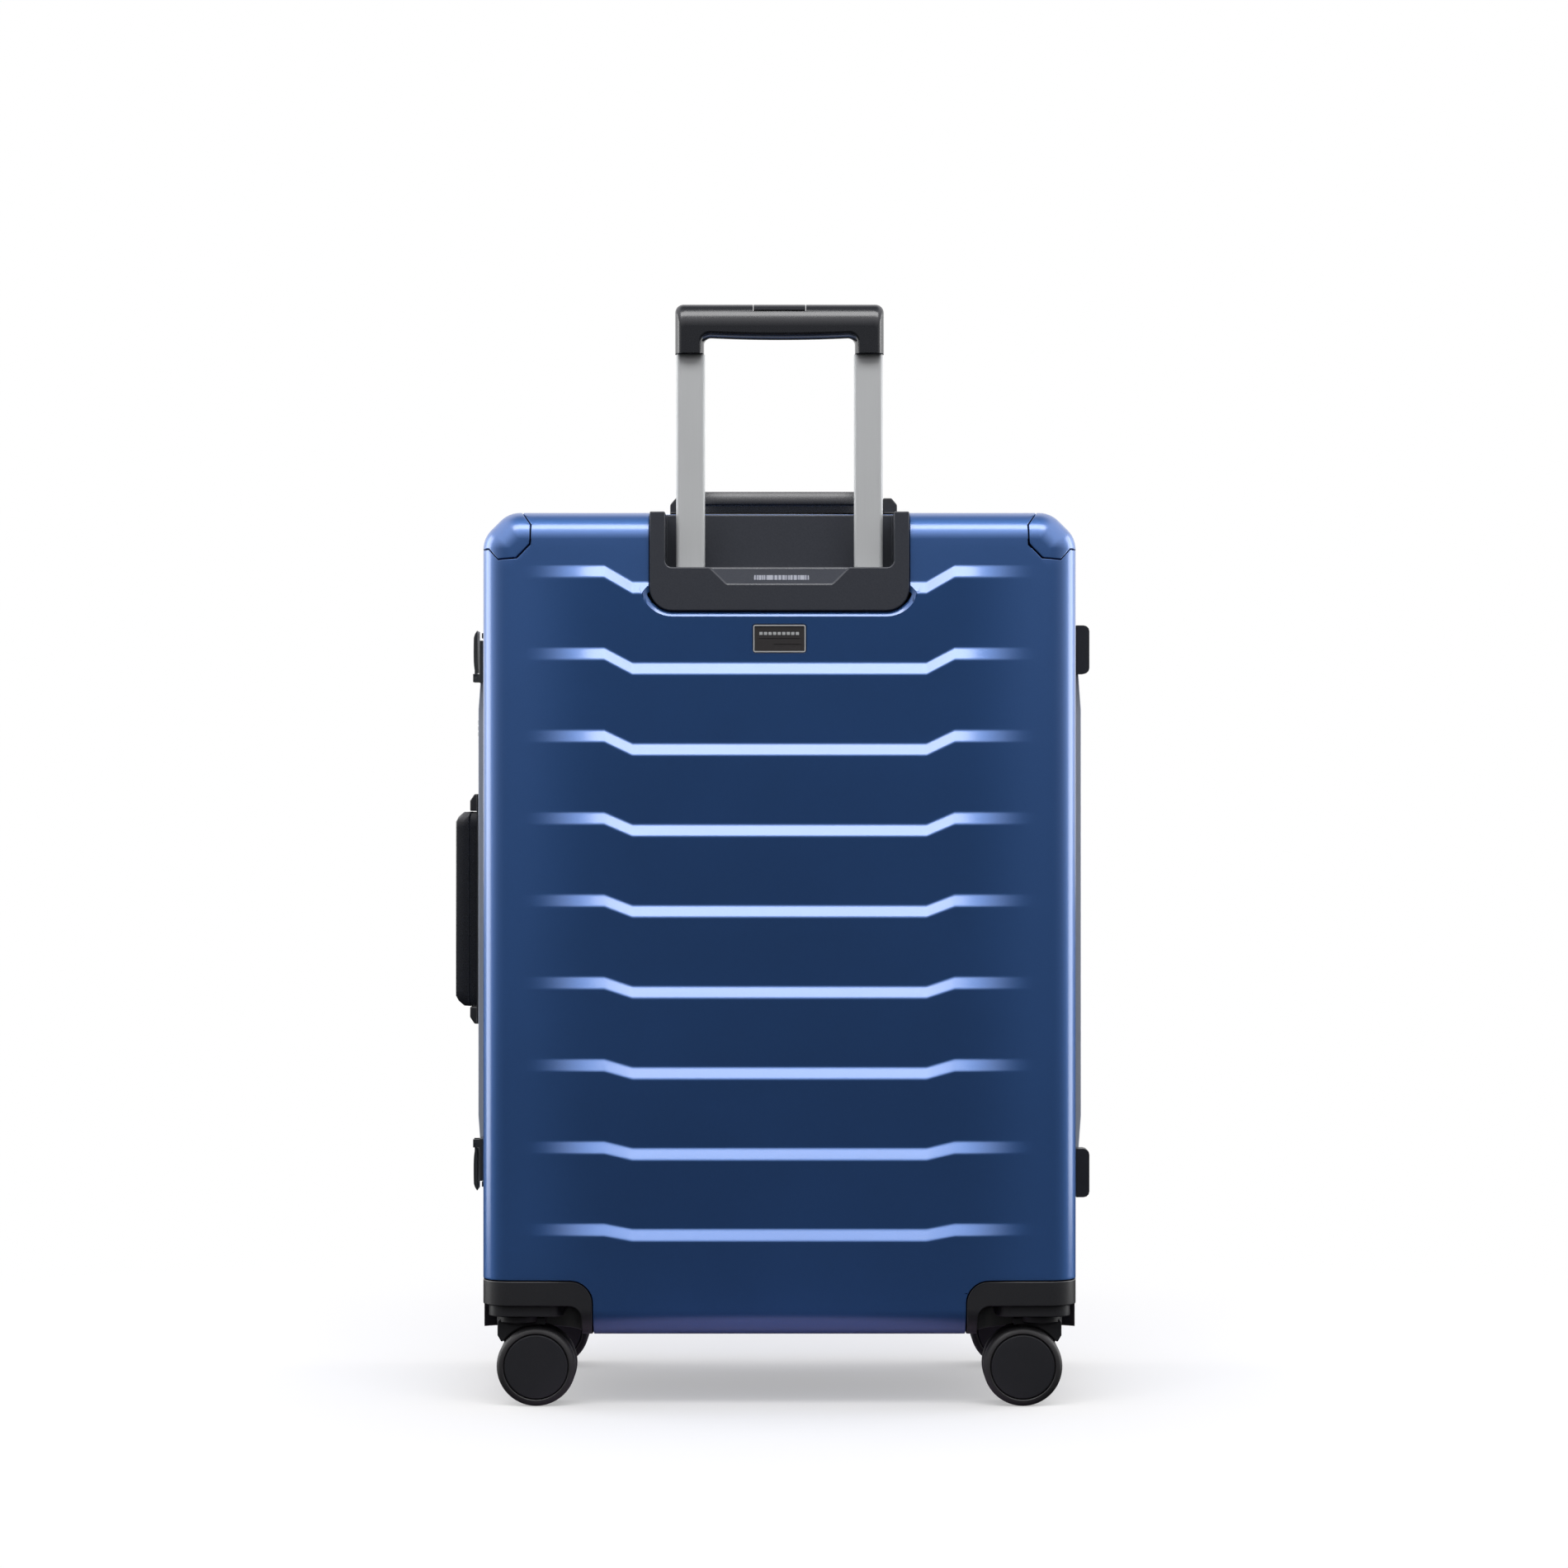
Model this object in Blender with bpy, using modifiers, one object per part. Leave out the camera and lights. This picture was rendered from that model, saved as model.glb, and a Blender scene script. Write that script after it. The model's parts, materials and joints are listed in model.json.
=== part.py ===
# A hard shell suitcase on four swivelling twin wheels, standing upright.
# Metres, +Z up, wheels on Z = 0. The rear half carries the trolley and faces -Y, the front half opens
# as a lid about a vertical hinge on the +X side. Latches and the side handle are on the -X side.
import math

import bmesh
import bpy
from mathutils import Matrix, Vector

GAP = 0.0003                    # clearance between neighbours that touch on the real case
SAME = 1e-6                     # how close two coordinates are to count as equal

# Case: half shells between a rear face and a front face, with a frame at the parting plane Y = 0
CASE_X = 0.0063                 # the case stands this far to +X, so that the whole box is centred
REAR_Y = 0.1350                 # the proudest part of each half, from the parting plane
STEP_DEPTH = 0.0045             # how far each horizontal step stands out of the face
FACE_HALF_W, MOUTH_HALF_W = 0.2160, 0.2222
FACE_Z, MOUTH_Z = (0.0525, 0.6535), (0.0512, 0.6548)
CORNER_CHAMFER = 0.0185
EDGE_R = 0.0200
WALL = 0.0025

# Steps: a middle stretch and two outer stretches, joined by slanted kinks
STEPS = 9
BAND = 0.0084                   # height of the sloping riser at the top of each step
OUTER_TOP, OUTER_PITCH = 0.6140, 0.0599
MIDDLE_TOP, MIDDLE_PITCH = 0.6021, 0.0589
KINK_X = (0.1070, 0.1275)
FADE_X = (0.1400, 0.1820)

# Frame
FRAME_HALF_W = 0.2240
FRAME_Z = (0.0490, 0.6575)
REAR_LIP, FRONT_LIP = 0.0160, 0.0262
BELT_HALF_W = 0.2290
BELT_Z = (0.1340, 0.2030, 0.5114, 0.5804)

# Linings
LINING_RIM, LINING_WALL = 0.0160, 0.0012

# Trolley
TUBE_X, TUBE_Y = 0.0650, -0.1165
INNER_TUBE = (0.0210, 0.0120)
TUBE_WALL, TUBE_STEP = 0.0012, 0.0030
GRIP_BOTTOM, GRIP_BAR, GRIP_TOP, GRIP_HALF_W = 0.7690, 0.7812, 0.8055, 0.0763
HOUSING_HALF_W, HOUSING_Z, HOUSING_BACK = 0.0944, 0.5810, -0.0912
RECESS_HALF_W, RECESS_FLOOR, RECESS_BACK = 0.0833, 0.6128, -0.0945

# Handles
TOP_HANDLE_X, TOP_HANDLE_Y = 0.0030, -0.0500
SIDE_HANDLE_Y, SIDE_HANDLE_Z = 0.0135, 0.3600

# Latches, hinges
LATCHES = {"upper": (0.5512, -1), "lower": (0.1672, 1)}   # height, and which way its pivot end lies
HINGES = {"upper": 0.5566, "lower": 0.1609}
HINGE_X, KNUCKLE_R = 0.2308, 0.0034
DIAL_Z = (0.4930, 0.4975, 0.5020)

# Casters
WHEEL_R, WHEEL_W, WHEEL_GAP = 0.0290, 0.0140, 0.0034
SWIVEL_X, SWIVEL_Y, TRAIL = 0.1910, 0.1030, 0.0130
CEILING = 0.0664
HOUSING_CUT_X, HOUSING_CUT_Y, HOUSING_CUT_Z = 0.1365, 0.0545, 0.0926

MATERIALS = {
    "shell_blue": ((0.040, 0.090, 0.250), 0.32, 0.75),
    "frame_silver": ((0.520, 0.510, 0.540), 0.30, 1.00),
    "belt_blue": ((0.160, 0.240, 0.400), 0.30, 0.90),
    "tube_aluminium": ((0.380, 0.395, 0.405), 0.35, 1.00),
    "black_plastic": ((0.022, 0.024, 0.028), 0.45, 0.00),
    "dark_plastic": ((0.045, 0.048, 0.056), 0.40, 0.00),
    "gunmetal": ((0.170, 0.175, 0.180), 0.32, 0.90),
    "steel": ((0.500, 0.500, 0.500), 0.25, 1.00),
    "wheel_rubber": ((0.012, 0.012, 0.014), 0.60, 0.00),
    "seal_rubber": ((0.015, 0.015, 0.015), 0.80, 0.00),
    "lining_fabric": ((0.110, 0.115, 0.130), 0.90, 0.00),
    "plate": ((0.070, 0.066, 0.068), 0.35, 0.60),
}

for old in list(bpy.data.objects):
    bpy.data.objects.remove(old, do_unlink=True)

SUITCASE = bpy.data.collections.new("suitcase")
CUTTERS = bpy.data.collections.new("suitcase_cutters")
for collection in (SUITCASE, CUTTERS):
    bpy.context.scene.collection.children.link(collection)
CUTTERS.hide_render = True

CASE = bpy.data.objects.new("case", None)
CASE.location = (CASE_X, 0, 0)
SUITCASE.objects.link(CASE)


def material(name):
    found = bpy.data.materials.get(name)
    if found:
        return found
    colour, roughness, metallic = MATERIALS[name]
    made = bpy.data.materials.new(name)
    made.use_nodes = True
    shader = made.node_tree.nodes["Principled BSDF"]
    shader.inputs["Base Color"].default_value = (*colour, 1)
    shader.inputs["Roughness"].default_value = roughness
    shader.inputs["Metallic"].default_value = metallic
    return made


def placed(name, mesh, finish=None):
    """An object under the case's empty: a part if it has a finish, a cutter if it has none."""
    obj = bpy.data.objects.new(name, mesh)
    obj.parent = CASE
    if finish:
        obj.data.materials.clear()
        obj.data.materials.append(material(finish))
        SUITCASE.objects.link(obj)
    else:
        obj.hide_render = True
        obj.display_type = "WIRE"
        CUTTERS.objects.link(obj)
    return obj


def from_bmesh(name, bm, finish=None):
    bmesh.ops.recalc_face_normals(bm, faces=bm.faces)
    mesh = bpy.data.meshes.new(name)
    bm.to_mesh(mesh)
    bm.free()
    return placed(name, mesh, finish)


def bevel(obj, width, segments=2, angle=40):
    made = obj.modifiers.new("rounded", "BEVEL")
    made.width = width
    made.segments = segments
    made.limit_method = "ANGLE"
    made.angle_limit = math.radians(angle)
    return obj


def boolean(obj, other, operation="DIFFERENCE"):
    made = obj.modifiers.new(operation.lower(), "BOOLEAN")
    made.operation = operation
    made.solver = "EXACT"
    made.object = other
    return obj


def box(name, low, high, finish=None, rounding=0.0, segments=2):
    bm = bmesh.new()
    bmesh.ops.create_cube(bm, size=1)
    low, high = Vector(low), Vector(high)
    for corner in bm.verts:
        corner.co = Vector(high[i] if corner.co[i] > 0 else low[i] for i in range(3))
    obj = from_bmesh(name, bm, finish)
    if rounding:
        bevel(obj, rounding, segments)
    return obj


def cylinder(name, start, end, radius, finish=None, segments=20):
    bm = bmesh.new()
    start, end = Vector(start), Vector(end)
    along = end - start
    turn = along.to_track_quat("Z", "Y").to_matrix().to_4x4()
    bmesh.ops.create_cone(
        bm,
        cap_ends=True,
        segments=segments,
        radius1=radius,
        radius2=radius,
        depth=along.length,
        matrix=Matrix.Translation((start + end) / 2) @ turn,
    )
    obj = from_bmesh(name, bm, finish)
    obj.data.shade_smooth()
    obj.data.set_sharp_from_angle(angle=math.radians(40))
    return obj


def plate(name, outlines, axis, low, high, finish=None):
    """A flat outline, with any holes after it, extruded along one axis from low to high."""
    flat = bpy.data.curves.new(name, "CURVE")
    flat.dimensions = "2D"
    flat.fill_mode = "BOTH"
    flat.extrude = (high - low) / 2
    for outline in outlines:
        spline = flat.splines.new("POLY")
        spline.points.add(len(outline) - 1)
        spline.use_cyclic_u = True
        for point, (u, v) in zip(spline.points, outline):
            point.co = (u, v, 0, 1)
    guide = bpy.data.objects.new(name, flat)
    bpy.context.scene.collection.objects.link(guide)
    bpy.context.view_layer.update()
    depsgraph = bpy.context.evaluated_depsgraph_get()
    mesh = bpy.data.meshes.new_from_object(guide.evaluated_get(depsgraph))
    bpy.data.objects.remove(guide)
    middle = (low + high) / 2
    turns = {
        "x": Matrix(((0, 0, 1, middle), (1, 0, 0, 0), (0, 1, 0, 0), (0, 0, 0, 1))),
        "y": Matrix(((1, 0, 0, 0), (0, 0, -1, middle), (0, 1, 0, 0), (0, 0, 0, 1))),
        "z": Matrix.Translation((0, 0, middle)),
    }
    mesh.transform(turns[axis])
    bm = bmesh.new()
    bm.from_mesh(mesh)
    bmesh.ops.remove_doubles(bm, verts=bm.verts, dist=1e-6)
    return from_bmesh(name, bm, finish)


def rounded(low, high, radius, corners="1111", steps=4):
    """A rectangle's outline, with the corners marked 1 rounded: low-low, high-low, high-high, low-high."""
    centres = (
        (low[0] + radius, low[1] + radius, 180),
        (high[0] - radius, low[1] + radius, 270),
        (high[0] - radius, high[1] - radius, 0),
        (low[0] + radius, high[1] - radius, 90),
    )
    square = (low, (high[0], low[1]), high, (low[0], high[1]))
    points = []
    for (u, v, start), corner, mark in zip(centres, square, corners):
        if mark == "0":
            points.append(corner)
            continue
        for i in range(steps + 1):
            angle = math.radians(start + 90 * i / steps)
            points.append((u + radius * math.cos(angle), v + radius * math.sin(angle)))
    return points


def mirrored(outline):
    return [(-u, v) for u, v in reversed(outline)]


def set_origin(obj, point):
    """Puts an object's origin on a point, such as its joint's axis, and leaves its shape where it is."""
    obj.data.transform(Matrix.Translation(-Vector(point)))
    obj.location = point
    return obj


def joined(name, pieces, finish):
    """One part from overlapping pieces: the first piece's mesh, with the others united to it."""
    first = placed(name, pieces[0].data, finish)
    for modifier in pieces[0].modifiers:
        copy = first.modifiers.new(modifier.name, modifier.type)
        for key in ("width", "segments", "limit_method", "angle_limit"):
            setattr(copy, key, getattr(modifier, key))
    bpy.data.objects.remove(pieces[0])
    for other in pieces[1:]:
        boolean(first, other, "UNION")
    return first


# --- Case form -----------------------------------------------------------------------------------


def step_rows():
    """The rear face's cut heights in its middle stretch, with the outer stretch's heights beside them."""
    rows = []
    for i in range(STEPS):
        middle, outer = MIDDLE_TOP - i * MIDDLE_PITCH, OUTER_TOP - i * OUTER_PITCH
        rows.append((middle, outer, 0.0))
        rows.append((middle - BAND, outer - BAND, 1.0))
    return rows


def fade(x):
    """How much of the steps' depth is left at this distance from the middle."""
    t = (abs(x) - FADE_X[0]) / (FADE_X[1] - FADE_X[0])
    return 1 - min(1, max(0, t))


def cut_grid(bm, face_y):
    """Cuts the flat face into a grid along the steps and their kinks."""
    planes = [((0, 0, middle), (0, 0, 1)) for middle, _, _ in step_rows()]
    for x in (*KINK_X, *FADE_X):
        planes += [((x, 0, 0), (1, 0, 0)), ((-x, 0, 0), (1, 0, 0))]
    for point, normal in planes:
        faces = [f for f in bm.faces if all(abs(v.co.y - face_y) < SAME for v in f.verts)]
        edges = list({e for f in faces for e in f.edges})
        verts = list({v for f in faces for v in f.verts})
        bmesh.ops.bisect_plane(bm, geom=verts + edges + faces, dist=SAME, plane_co=point, plane_no=normal)


def raise_steps(bm, face_y, side):
    """Moves the grid's points out to the steps, and the outer stretches to their own heights."""
    rows = step_rows()
    lowest = FACE_Z[0] + EDGE_R
    for v in bm.verts:
        if abs(v.co.y - face_y) > SAME:
            continue
        row = min(rows, key=lambda r: abs(r[0] - v.co.z))
        if abs(row[0] - v.co.z) > 1e-5 or v.co.z < lowest:
            continue
        v.co.y += side * STEP_DEPTH * row[2] * fade(v.co.x)
        if abs(v.co.x) > KINK_X[0] + 1e-4:
            v.co.z = row[1]


def half_form(side, mouth, open_mouth):
    """One half of the case's outer form. side is -1 for the rear half and 1 for the front half."""
    face_y = side * (REAR_Y - STEP_DEPTH)
    bm = bmesh.new()
    bmesh.ops.create_cube(bm, size=1)
    for v in bm.verts:
        at_face = v.co.y * side > 0
        half_w = FACE_HALF_W if at_face else MOUTH_HALF_W
        heights = FACE_Z if at_face else MOUTH_Z
        height = heights[1] if v.co.z > 0 else heights[0]
        v.co = Vector((math.copysign(half_w, v.co.x), face_y if at_face else mouth, height))
    upper = [e for e in bm.edges if all(v.co.z > sum(FACE_Z) / 2 for v in e.verts)]
    top = [e for e in upper if abs(e.verts[0].co.y - e.verts[1].co.y) > CORNER_CHAMFER]
    bmesh.ops.bevel(bm, geom=top, offset=CORNER_CHAMFER, segments=1, affect="EDGES")
    rim = [e for e in bm.edges if all(abs(v.co.y - face_y) < SAME for v in e.verts)]
    bmesh.ops.bevel(bm, geom=rim, offset=EDGE_R, segments=4, profile=0.5, affect="EDGES")
    cut_grid(bm, face_y)
    raise_steps(bm, face_y, side)
    if open_mouth:
        lids = [f for f in bm.faces if all(abs(v.co.y - mouth) < SAME for v in f.verts)]
        bmesh.ops.delete(bm, geom=lids, context="FACES_ONLY")
    return bm


def walled_form(name, side, mouth):
    """One half's form as a thin wall, open at the mouth, with the wall's thickness on the inside."""
    obj = from_bmesh(name, half_form(side, mouth, True), "shell_blue")
    face = obj.data.polygons[0]
    if face.normal.dot(face.center - Vector((0, 0, sum(FACE_Z) / 2))) < 0:
        obj.data.flip_normals()
    wall = obj.modifiers.new("wall", "SOLIDIFY")
    wall.thickness = WALL
    wall.offset = -1
    wall.use_even_offset = True
    return obj


def guard_outline(grow, right):
    """A top corner guard's outline in the front view, running out past the case."""
    points = [
        (0.1880 - grow, 0.6700),
        (0.1880 - grow, 0.6530),
        (0.1815 - grow, 0.6440),
        (0.1820 - grow, 0.6300 - grow),
        (0.1917 - grow, 0.6200 - grow),
        (0.2050, 0.6188 - grow),
        (0.2120, 0.6266 - grow),
        (0.2350, 0.6266 - grow),
        (0.2350, 0.6700),
    ]
    return points if right else mirrored(points)


def wheel_cut_outline(grow, right):
    """A bottom corner's outline in the front view, where the wheel housing replaces the shell."""
    points = rounded(
        (HOUSING_CUT_X - grow, 0.0300), (0.2400, HOUSING_CUT_Z + grow), 0.0160 + grow, corners="0001"
    )
    return points if right else mirrored(points)


def corner_spans(side, grow):
    """How far along Y the corner pieces reach, for the guards and for the wheel housings."""
    far = side * 0.1600
    guard, wheels = side * (0.0980 - grow), side * (HOUSING_CUT_Y - grow)
    return sorted((far, guard)), sorted((far, wheels))


def corner_pieces(half, side, mouth, case_shell):
    """The guards and wheel housings of one half, and the cuts that they leave in its shell."""
    for label, right in (("left", False), ("right", True)):
        guard_span, wheel_span = corner_spans(side, 0)
        guard_wide, wheel_wide = corner_spans(side, GAP)
        guard = walled_form(f"corner_guard_{half}_{label}", side, mouth)
        region = plate(f"guard_region_{half}_{label}", [guard_outline(0, right)], "y", *guard_span)
        boolean(guard, region, "INTERSECT")
        gap = plate(f"guard_gap_{half}_{label}", [guard_outline(GAP, right)], "y", *guard_wide)
        boolean(case_shell, gap)
        wheel_housing(half, side, mouth, label, right, wheel_span)
        gap = plate(f"wheel_gap_{half}_{label}", [wheel_cut_outline(GAP, right)], "y", *wheel_wide)
        boolean(case_shell, gap)


def wheel_housing(half, side, mouth, label, right, span):
    """A cup that caps a bottom corner, open to the inside of the case, with a pocket for its caster."""
    name = f"wheel_housing_{half}_{label}"
    sign = 1 if right else -1
    body = from_bmesh(name, half_form(side, mouth, False), "black_plastic")
    region = plate(name + "_region", [wheel_cut_outline(0, right)], "y", *span)
    boolean(body, region, "INTERSECT")

    def corner_box(tag, x, y, z):
        xs, ys = sorted((sign * x[0], sign * x[1])), sorted((side * y[0], side * y[1]))
        return box(f"{name}_{tag}", (xs[0], ys[0], z[0]), (xs[1], ys[1], z[1]))

    wall = 0.0030
    pocket_x, pocket_y = HOUSING_CUT_X + 0.0100, HOUSING_CUT_Y + wall
    boolean(body, corner_box("pocket", (pocket_x, 0.2500), (pocket_y, 0.1600), (0.0200, CEILING)))
    boolean(body, corner_box("cup", (pocket_x, 0.2080), (pocket_y, 0.1230), (CEILING + wall, 0.1200)))
    leg_x = (HOUSING_CUT_X + wall, pocket_x - wall)
    boolean(body, corner_box("slot", leg_x, (pocket_y, 0.1270), (0.0600, 0.1200)))
    centre = (sign * SWIVEL_X, side * SWIVEL_Y)
    boolean(body, cylinder(name + "_bore", (*centre, 0.0500), (*centre, 0.0800), 0.0043))


# --- Frames and seal -----------------------------------------------------------------------------


def frame_outline(inset=0.0):
    """The frame's outer edge in the front view: chamfered at the top corners, rounded at the bottom ones."""
    half_w, low, high = FRAME_HALF_W - inset, FRAME_Z[0] + inset, FRAME_Z[1] - inset
    cut = CORNER_CHAMFER + 0.0012 - 0.586 * inset
    points = []
    for i in range(5):
        angle = math.radians(270 + 90 * i / 4)
        radius = 0.0180 - inset
        points.append((half_w - radius + radius * math.cos(angle), low + radius + radius * math.sin(angle)))
    points += [(half_w, high - cut), (half_w - cut, high)]
    return points + mirrored(points)


def frame_ring(name, profile, finish):
    """A closed ring round the frame's outline. The profile gives (inset, Y) at each of its corners."""
    bm = bmesh.new()
    rings = []
    for inset, y in profile:
        rings.append([bm.verts.new((x, y, z)) for x, z in frame_outline(inset)])
    count = len(rings[0])
    for i, ring in enumerate(rings):
        following = rings[(i + 1) % len(rings)]
        for j in range(count):
            k = (j + 1) % count
            bm.faces.new((ring[j], ring[k], following[k], following[j]))
    return from_bmesh(name, bm, finish)


def frame_profile(side, lip, flange, tongue):
    """Lip over the shell's edge, flange behind the shell, and a groove or a tongue at the parting plane."""
    face = 0.0006
    if tongue:
        meet = ((0.0066, face), (0.0066, -0.0016), (0.0042, -0.0016), (0.0042, face))
    else:
        meet = ((0.0070, face), (0.0070, 0.0042), (0.0038, 0.0042), (0.0038, face))
    profile = (
        (0.0004, face), (0.0, face + 0.0010), (0.0, lip - 0.0014), (0.0012, lip + 0.0002),
        (0.0058, lip + 0.0002), (0.0060, flange), (0.0074, flange), (0.0074, lip - 0.0010),
        (0.0100, lip - 0.0010), (0.0100, face), *meet,
    )
    return [(inset, side * y) for inset, y in profile]


def belt_pad(label, sign):
    """The wider stretch of the front frame's outer face, between the latches."""
    inner, outer = sign * 0.2225, sign * BELT_HALF_W
    flat = sign * FRAME_HALF_W
    outline = [(inner, BELT_Z[0]), (flat, BELT_Z[0]), (outer, BELT_Z[1]), (outer, BELT_Z[2]),
               (flat, BELT_Z[3]), (inner, BELT_Z[3])]
    return plate(f"belt_pad_{label}", [outline], "y", 0.0006, FRONT_LIP - 0.0010)


def frames():
    frame_ring("rear_frame", frame_profile(-1, REAR_LIP, 0.0320, False), "frame_silver")
    front = frame_ring("front_frame", frame_profile(1, FRONT_LIP, 0.0400, True), "belt_blue")
    for label, sign in (("left", -1), ("right", 1)):
        boolean(front, belt_pad(label, sign), "UNION")
    seal = ((0.0041, -0.0039), (0.0041, -0.0022), (0.0054, -0.0019), (0.0067, -0.0022), (0.0067, -0.0039))
    frame_ring("frame_seal", seal, "seal_rubber")
    return front


# --- Linings -------------------------------------------------------------------------------------


def lining_form(name, side, grow, mouth, back, notches, finish=None):
    """A tray's solid, grown or shrunk, with a rounded back rim and its notches cut."""
    low, high = (-0.2125 - grow, 0.0605 - grow), (0.2125 + grow, 0.6460 + grow)
    outline = rounded(low, high, 0.0280, steps=3)
    far = side * (back + grow)
    form = plate(name, [outline], "y", *sorted((side * mouth, far)), finish)
    bm = bmesh.new()
    bm.from_mesh(form.data)
    back_edges = [e for e in bm.edges if all(abs(v.co.y - far) < SAME for v in e.verts)]
    rim = [e for e in back_edges if e.calc_face_angle(0) > math.radians(30)]
    bmesh.ops.bevel(bm, geom=rim, offset=LINING_RIM + grow, segments=3, profile=0.5, affect="EDGES")
    bm.to_mesh(form.data)
    bm.free()
    for tag, (x0, x1), (y0, y1), (z0, z1) in notches:
        ys = sorted((side * (y0 + grow), side * y1))
        cutter = box(f"{name}_{tag}", (x0 + grow, ys[0], z0 + grow), (x1 - grow, ys[1], z1 - grow))
        boolean(form, cutter)
    return form


def wheel_notch(tag, right):
    inner, outer = HOUSING_CUT_X - 0.0010, 0.2600
    xs = (inner, outer) if right else (-outer, -inner)
    return tag, xs, (HOUSING_CUT_Y - 0.0010, 0.2000), (0.0000, HOUSING_CUT_Z + 0.0020)


def lining(name, side, mouth, back, notches):
    """A thin fabric tray: the grown form less the same form shrunk."""
    outer = lining_form(name, side, 0.0, mouth, back, notches, "lining_fabric")
    inner = lining_form(name + "_hollow", side, -LINING_WALL, mouth - 0.0100, back, notches)
    boolean(outer, inner)


def linings():
    wheels = [wheel_notch("wheels_left", False), wheel_notch("wheels_right", True)]
    housing = ("housing", (-0.0980, 0.0980), (0.0880, 0.2000), (0.5745, 0.7000))
    handle = ("handle", (-0.0930, 0.0990), (0.0340, 0.2000), (0.6230, 0.7000))
    lining("rear_lining", -1, 0.0140, 0.1045, wheels + [housing, handle])
    lining("front_lining", 1, 0.0180, 0.1250, wheels)


# --- Trolley -------------------------------------------------------------------------------------


def tube(name, x, stage, low, high, finish):
    """A rounded rectangular tube. Stage 0 is the inner one, and each further stage fits round the last."""
    grow = stage * TUBE_STEP / 2
    half = (INNER_TUBE[0] / 2 + grow, INNER_TUBE[1] / 2 + grow)
    inner = (half[0] - TUBE_WALL, half[1] - TUBE_WALL)
    outlines = []
    for (u, v), radius in ((half, 0.0030), (inner, 0.0020)):
        outlines.append(rounded((x - u, TUBE_Y - v), (x + u, TUBE_Y + v), radius, steps=2))
    obj = plate(name, outlines, "z", low, high, finish)
    return set_origin(obj, (x, TUBE_Y, low))


def trolley_tubes():
    for label, x in (("left", -TUBE_X), ("right", TUBE_X)):
        tube(f"trolley_outer_tube_{label}", x, 2, 0.0665, HOUSING_Z - GAP, "tube_aluminium")
        tube(f"trolley_mid_tube_{label}", x, 1, 0.1000, RECESS_FLOOR - 0.0030, "tube_aluminium")
        tube(f"trolley_inner_tube_{label}", x, 0, 0.2650, GRIP_BOTTOM - GAP, "tube_aluminium")


def trolley_housing(case_shell):
    """The bezel and recess that the grip drops into, with a finger scoop in its front lip."""
    top = FACE_Z[1] - 0.0002

    def outline(grow, high):
        low = (-HOUSING_HALF_W - grow, HOUSING_Z - grow)
        return rounded(low, (HOUSING_HALF_W + grow, high), 0.0165 + grow, corners="1100")

    body = plate("trolley_housing", [outline(0, top)], "y", -REAR_Y + 0.0004, HOUSING_BACK, "dark_plastic")
    recess = rounded((-RECESS_HALF_W, RECESS_FLOOR), (RECESS_HALF_W, 0.7000), 0.0038, corners="1100",
                     steps=2)
    boolean(body, plate("recess", [recess], "y", -0.1600, RECESS_BACK))
    boolean(body, scoop())
    for label, x in (("left", -TUBE_X), ("right", TUBE_X)):
        half = (INNER_TUBE[0] / 2 + 0.0018, INNER_TUBE[1] / 2 + 0.0018)
        hole = rounded((x - half[0], TUBE_Y - half[1]), (x + half[0], TUBE_Y + half[1]), 0.0030, steps=2)
        boolean(body, plate(f"tube_hole_{label}", [hole], "z", 0.5500, 0.6400))
    boolean(case_shell, plate("housing_gap", [outline(GAP, 0.7000)], "y", -0.1600, HOUSING_BACK + GAP))


def scoop():
    """A wedge that slopes up from the front lip to the recess's floor, narrower at its foot."""
    bm = bmesh.new()
    bmesh.ops.create_cube(bm, size=1)
    foot_z, foot_y = 0.5995, -REAR_Y - 0.0010
    for v in bm.verts:
        low, rear = v.co.z < 0, v.co.y < 0
        z = (foot_z if rear else RECESS_FLOOR - 0.0004) if low else 0.6300
        half_w = 0.0370 + z - foot_z
        v.co = Vector((math.copysign(half_w, v.co.x), foot_y if rear else -0.1215, z))
    return from_bmesh("scoop", bm)


def trolley_grip():
    """A U-shaped grip with a spigot into each tube and a pocket for the button."""
    leg = GRIP_HALF_W - 0.0212
    inside = rounded((-leg, GRIP_BOTTOM), (leg, GRIP_BAR), 0.0050, corners="0011", steps=3)[2:]
    outside = rounded((-GRIP_HALF_W, GRIP_BOTTOM), (GRIP_HALF_W, GRIP_TOP), 0.0050, corners="0011",
                      steps=3)[2:]
    outline = [(-GRIP_HALF_W, GRIP_BOTTOM), (-leg, GRIP_BOTTOM), *reversed(inside)]
    outline += [(leg, GRIP_BOTTOM), (GRIP_HALF_W, GRIP_BOTTOM), *outside]
    grip = plate("trolley_grip", [outline], "y", TUBE_Y - 0.0130, TUBE_Y + 0.0130, "black_plastic")
    bevel(grip, 0.0028, 2, 50)
    for label, x in (("left", -TUBE_X), ("right", TUBE_X)):
        spigot = box(f"spigot_{label}", (x - 0.0086, TUBE_Y - 0.0041, GRIP_BOTTOM - 0.0150),
                     (x + 0.0086, TUBE_Y + 0.0041, GRIP_BOTTOM + 0.0040))
        boolean(grip, spigot, "UNION")
    pocket = box("button_pocket", (-0.0194, TUBE_Y - 0.0084, GRIP_TOP - 0.0085),
                 (0.0194, TUBE_Y + 0.0084, GRIP_TOP + 0.0100))
    boolean(grip, pocket)
    set_origin(grip, (0, TUBE_Y, GRIP_BOTTOM))
    button = box("trolley_button", (-0.0190, TUBE_Y - 0.0080, GRIP_TOP - 0.0038),
                 (0.0190, TUBE_Y + 0.0080, GRIP_TOP + 0.0004), "dark_plastic", 0.0008)
    set_origin(button, (0, TUBE_Y, GRIP_TOP))


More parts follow.
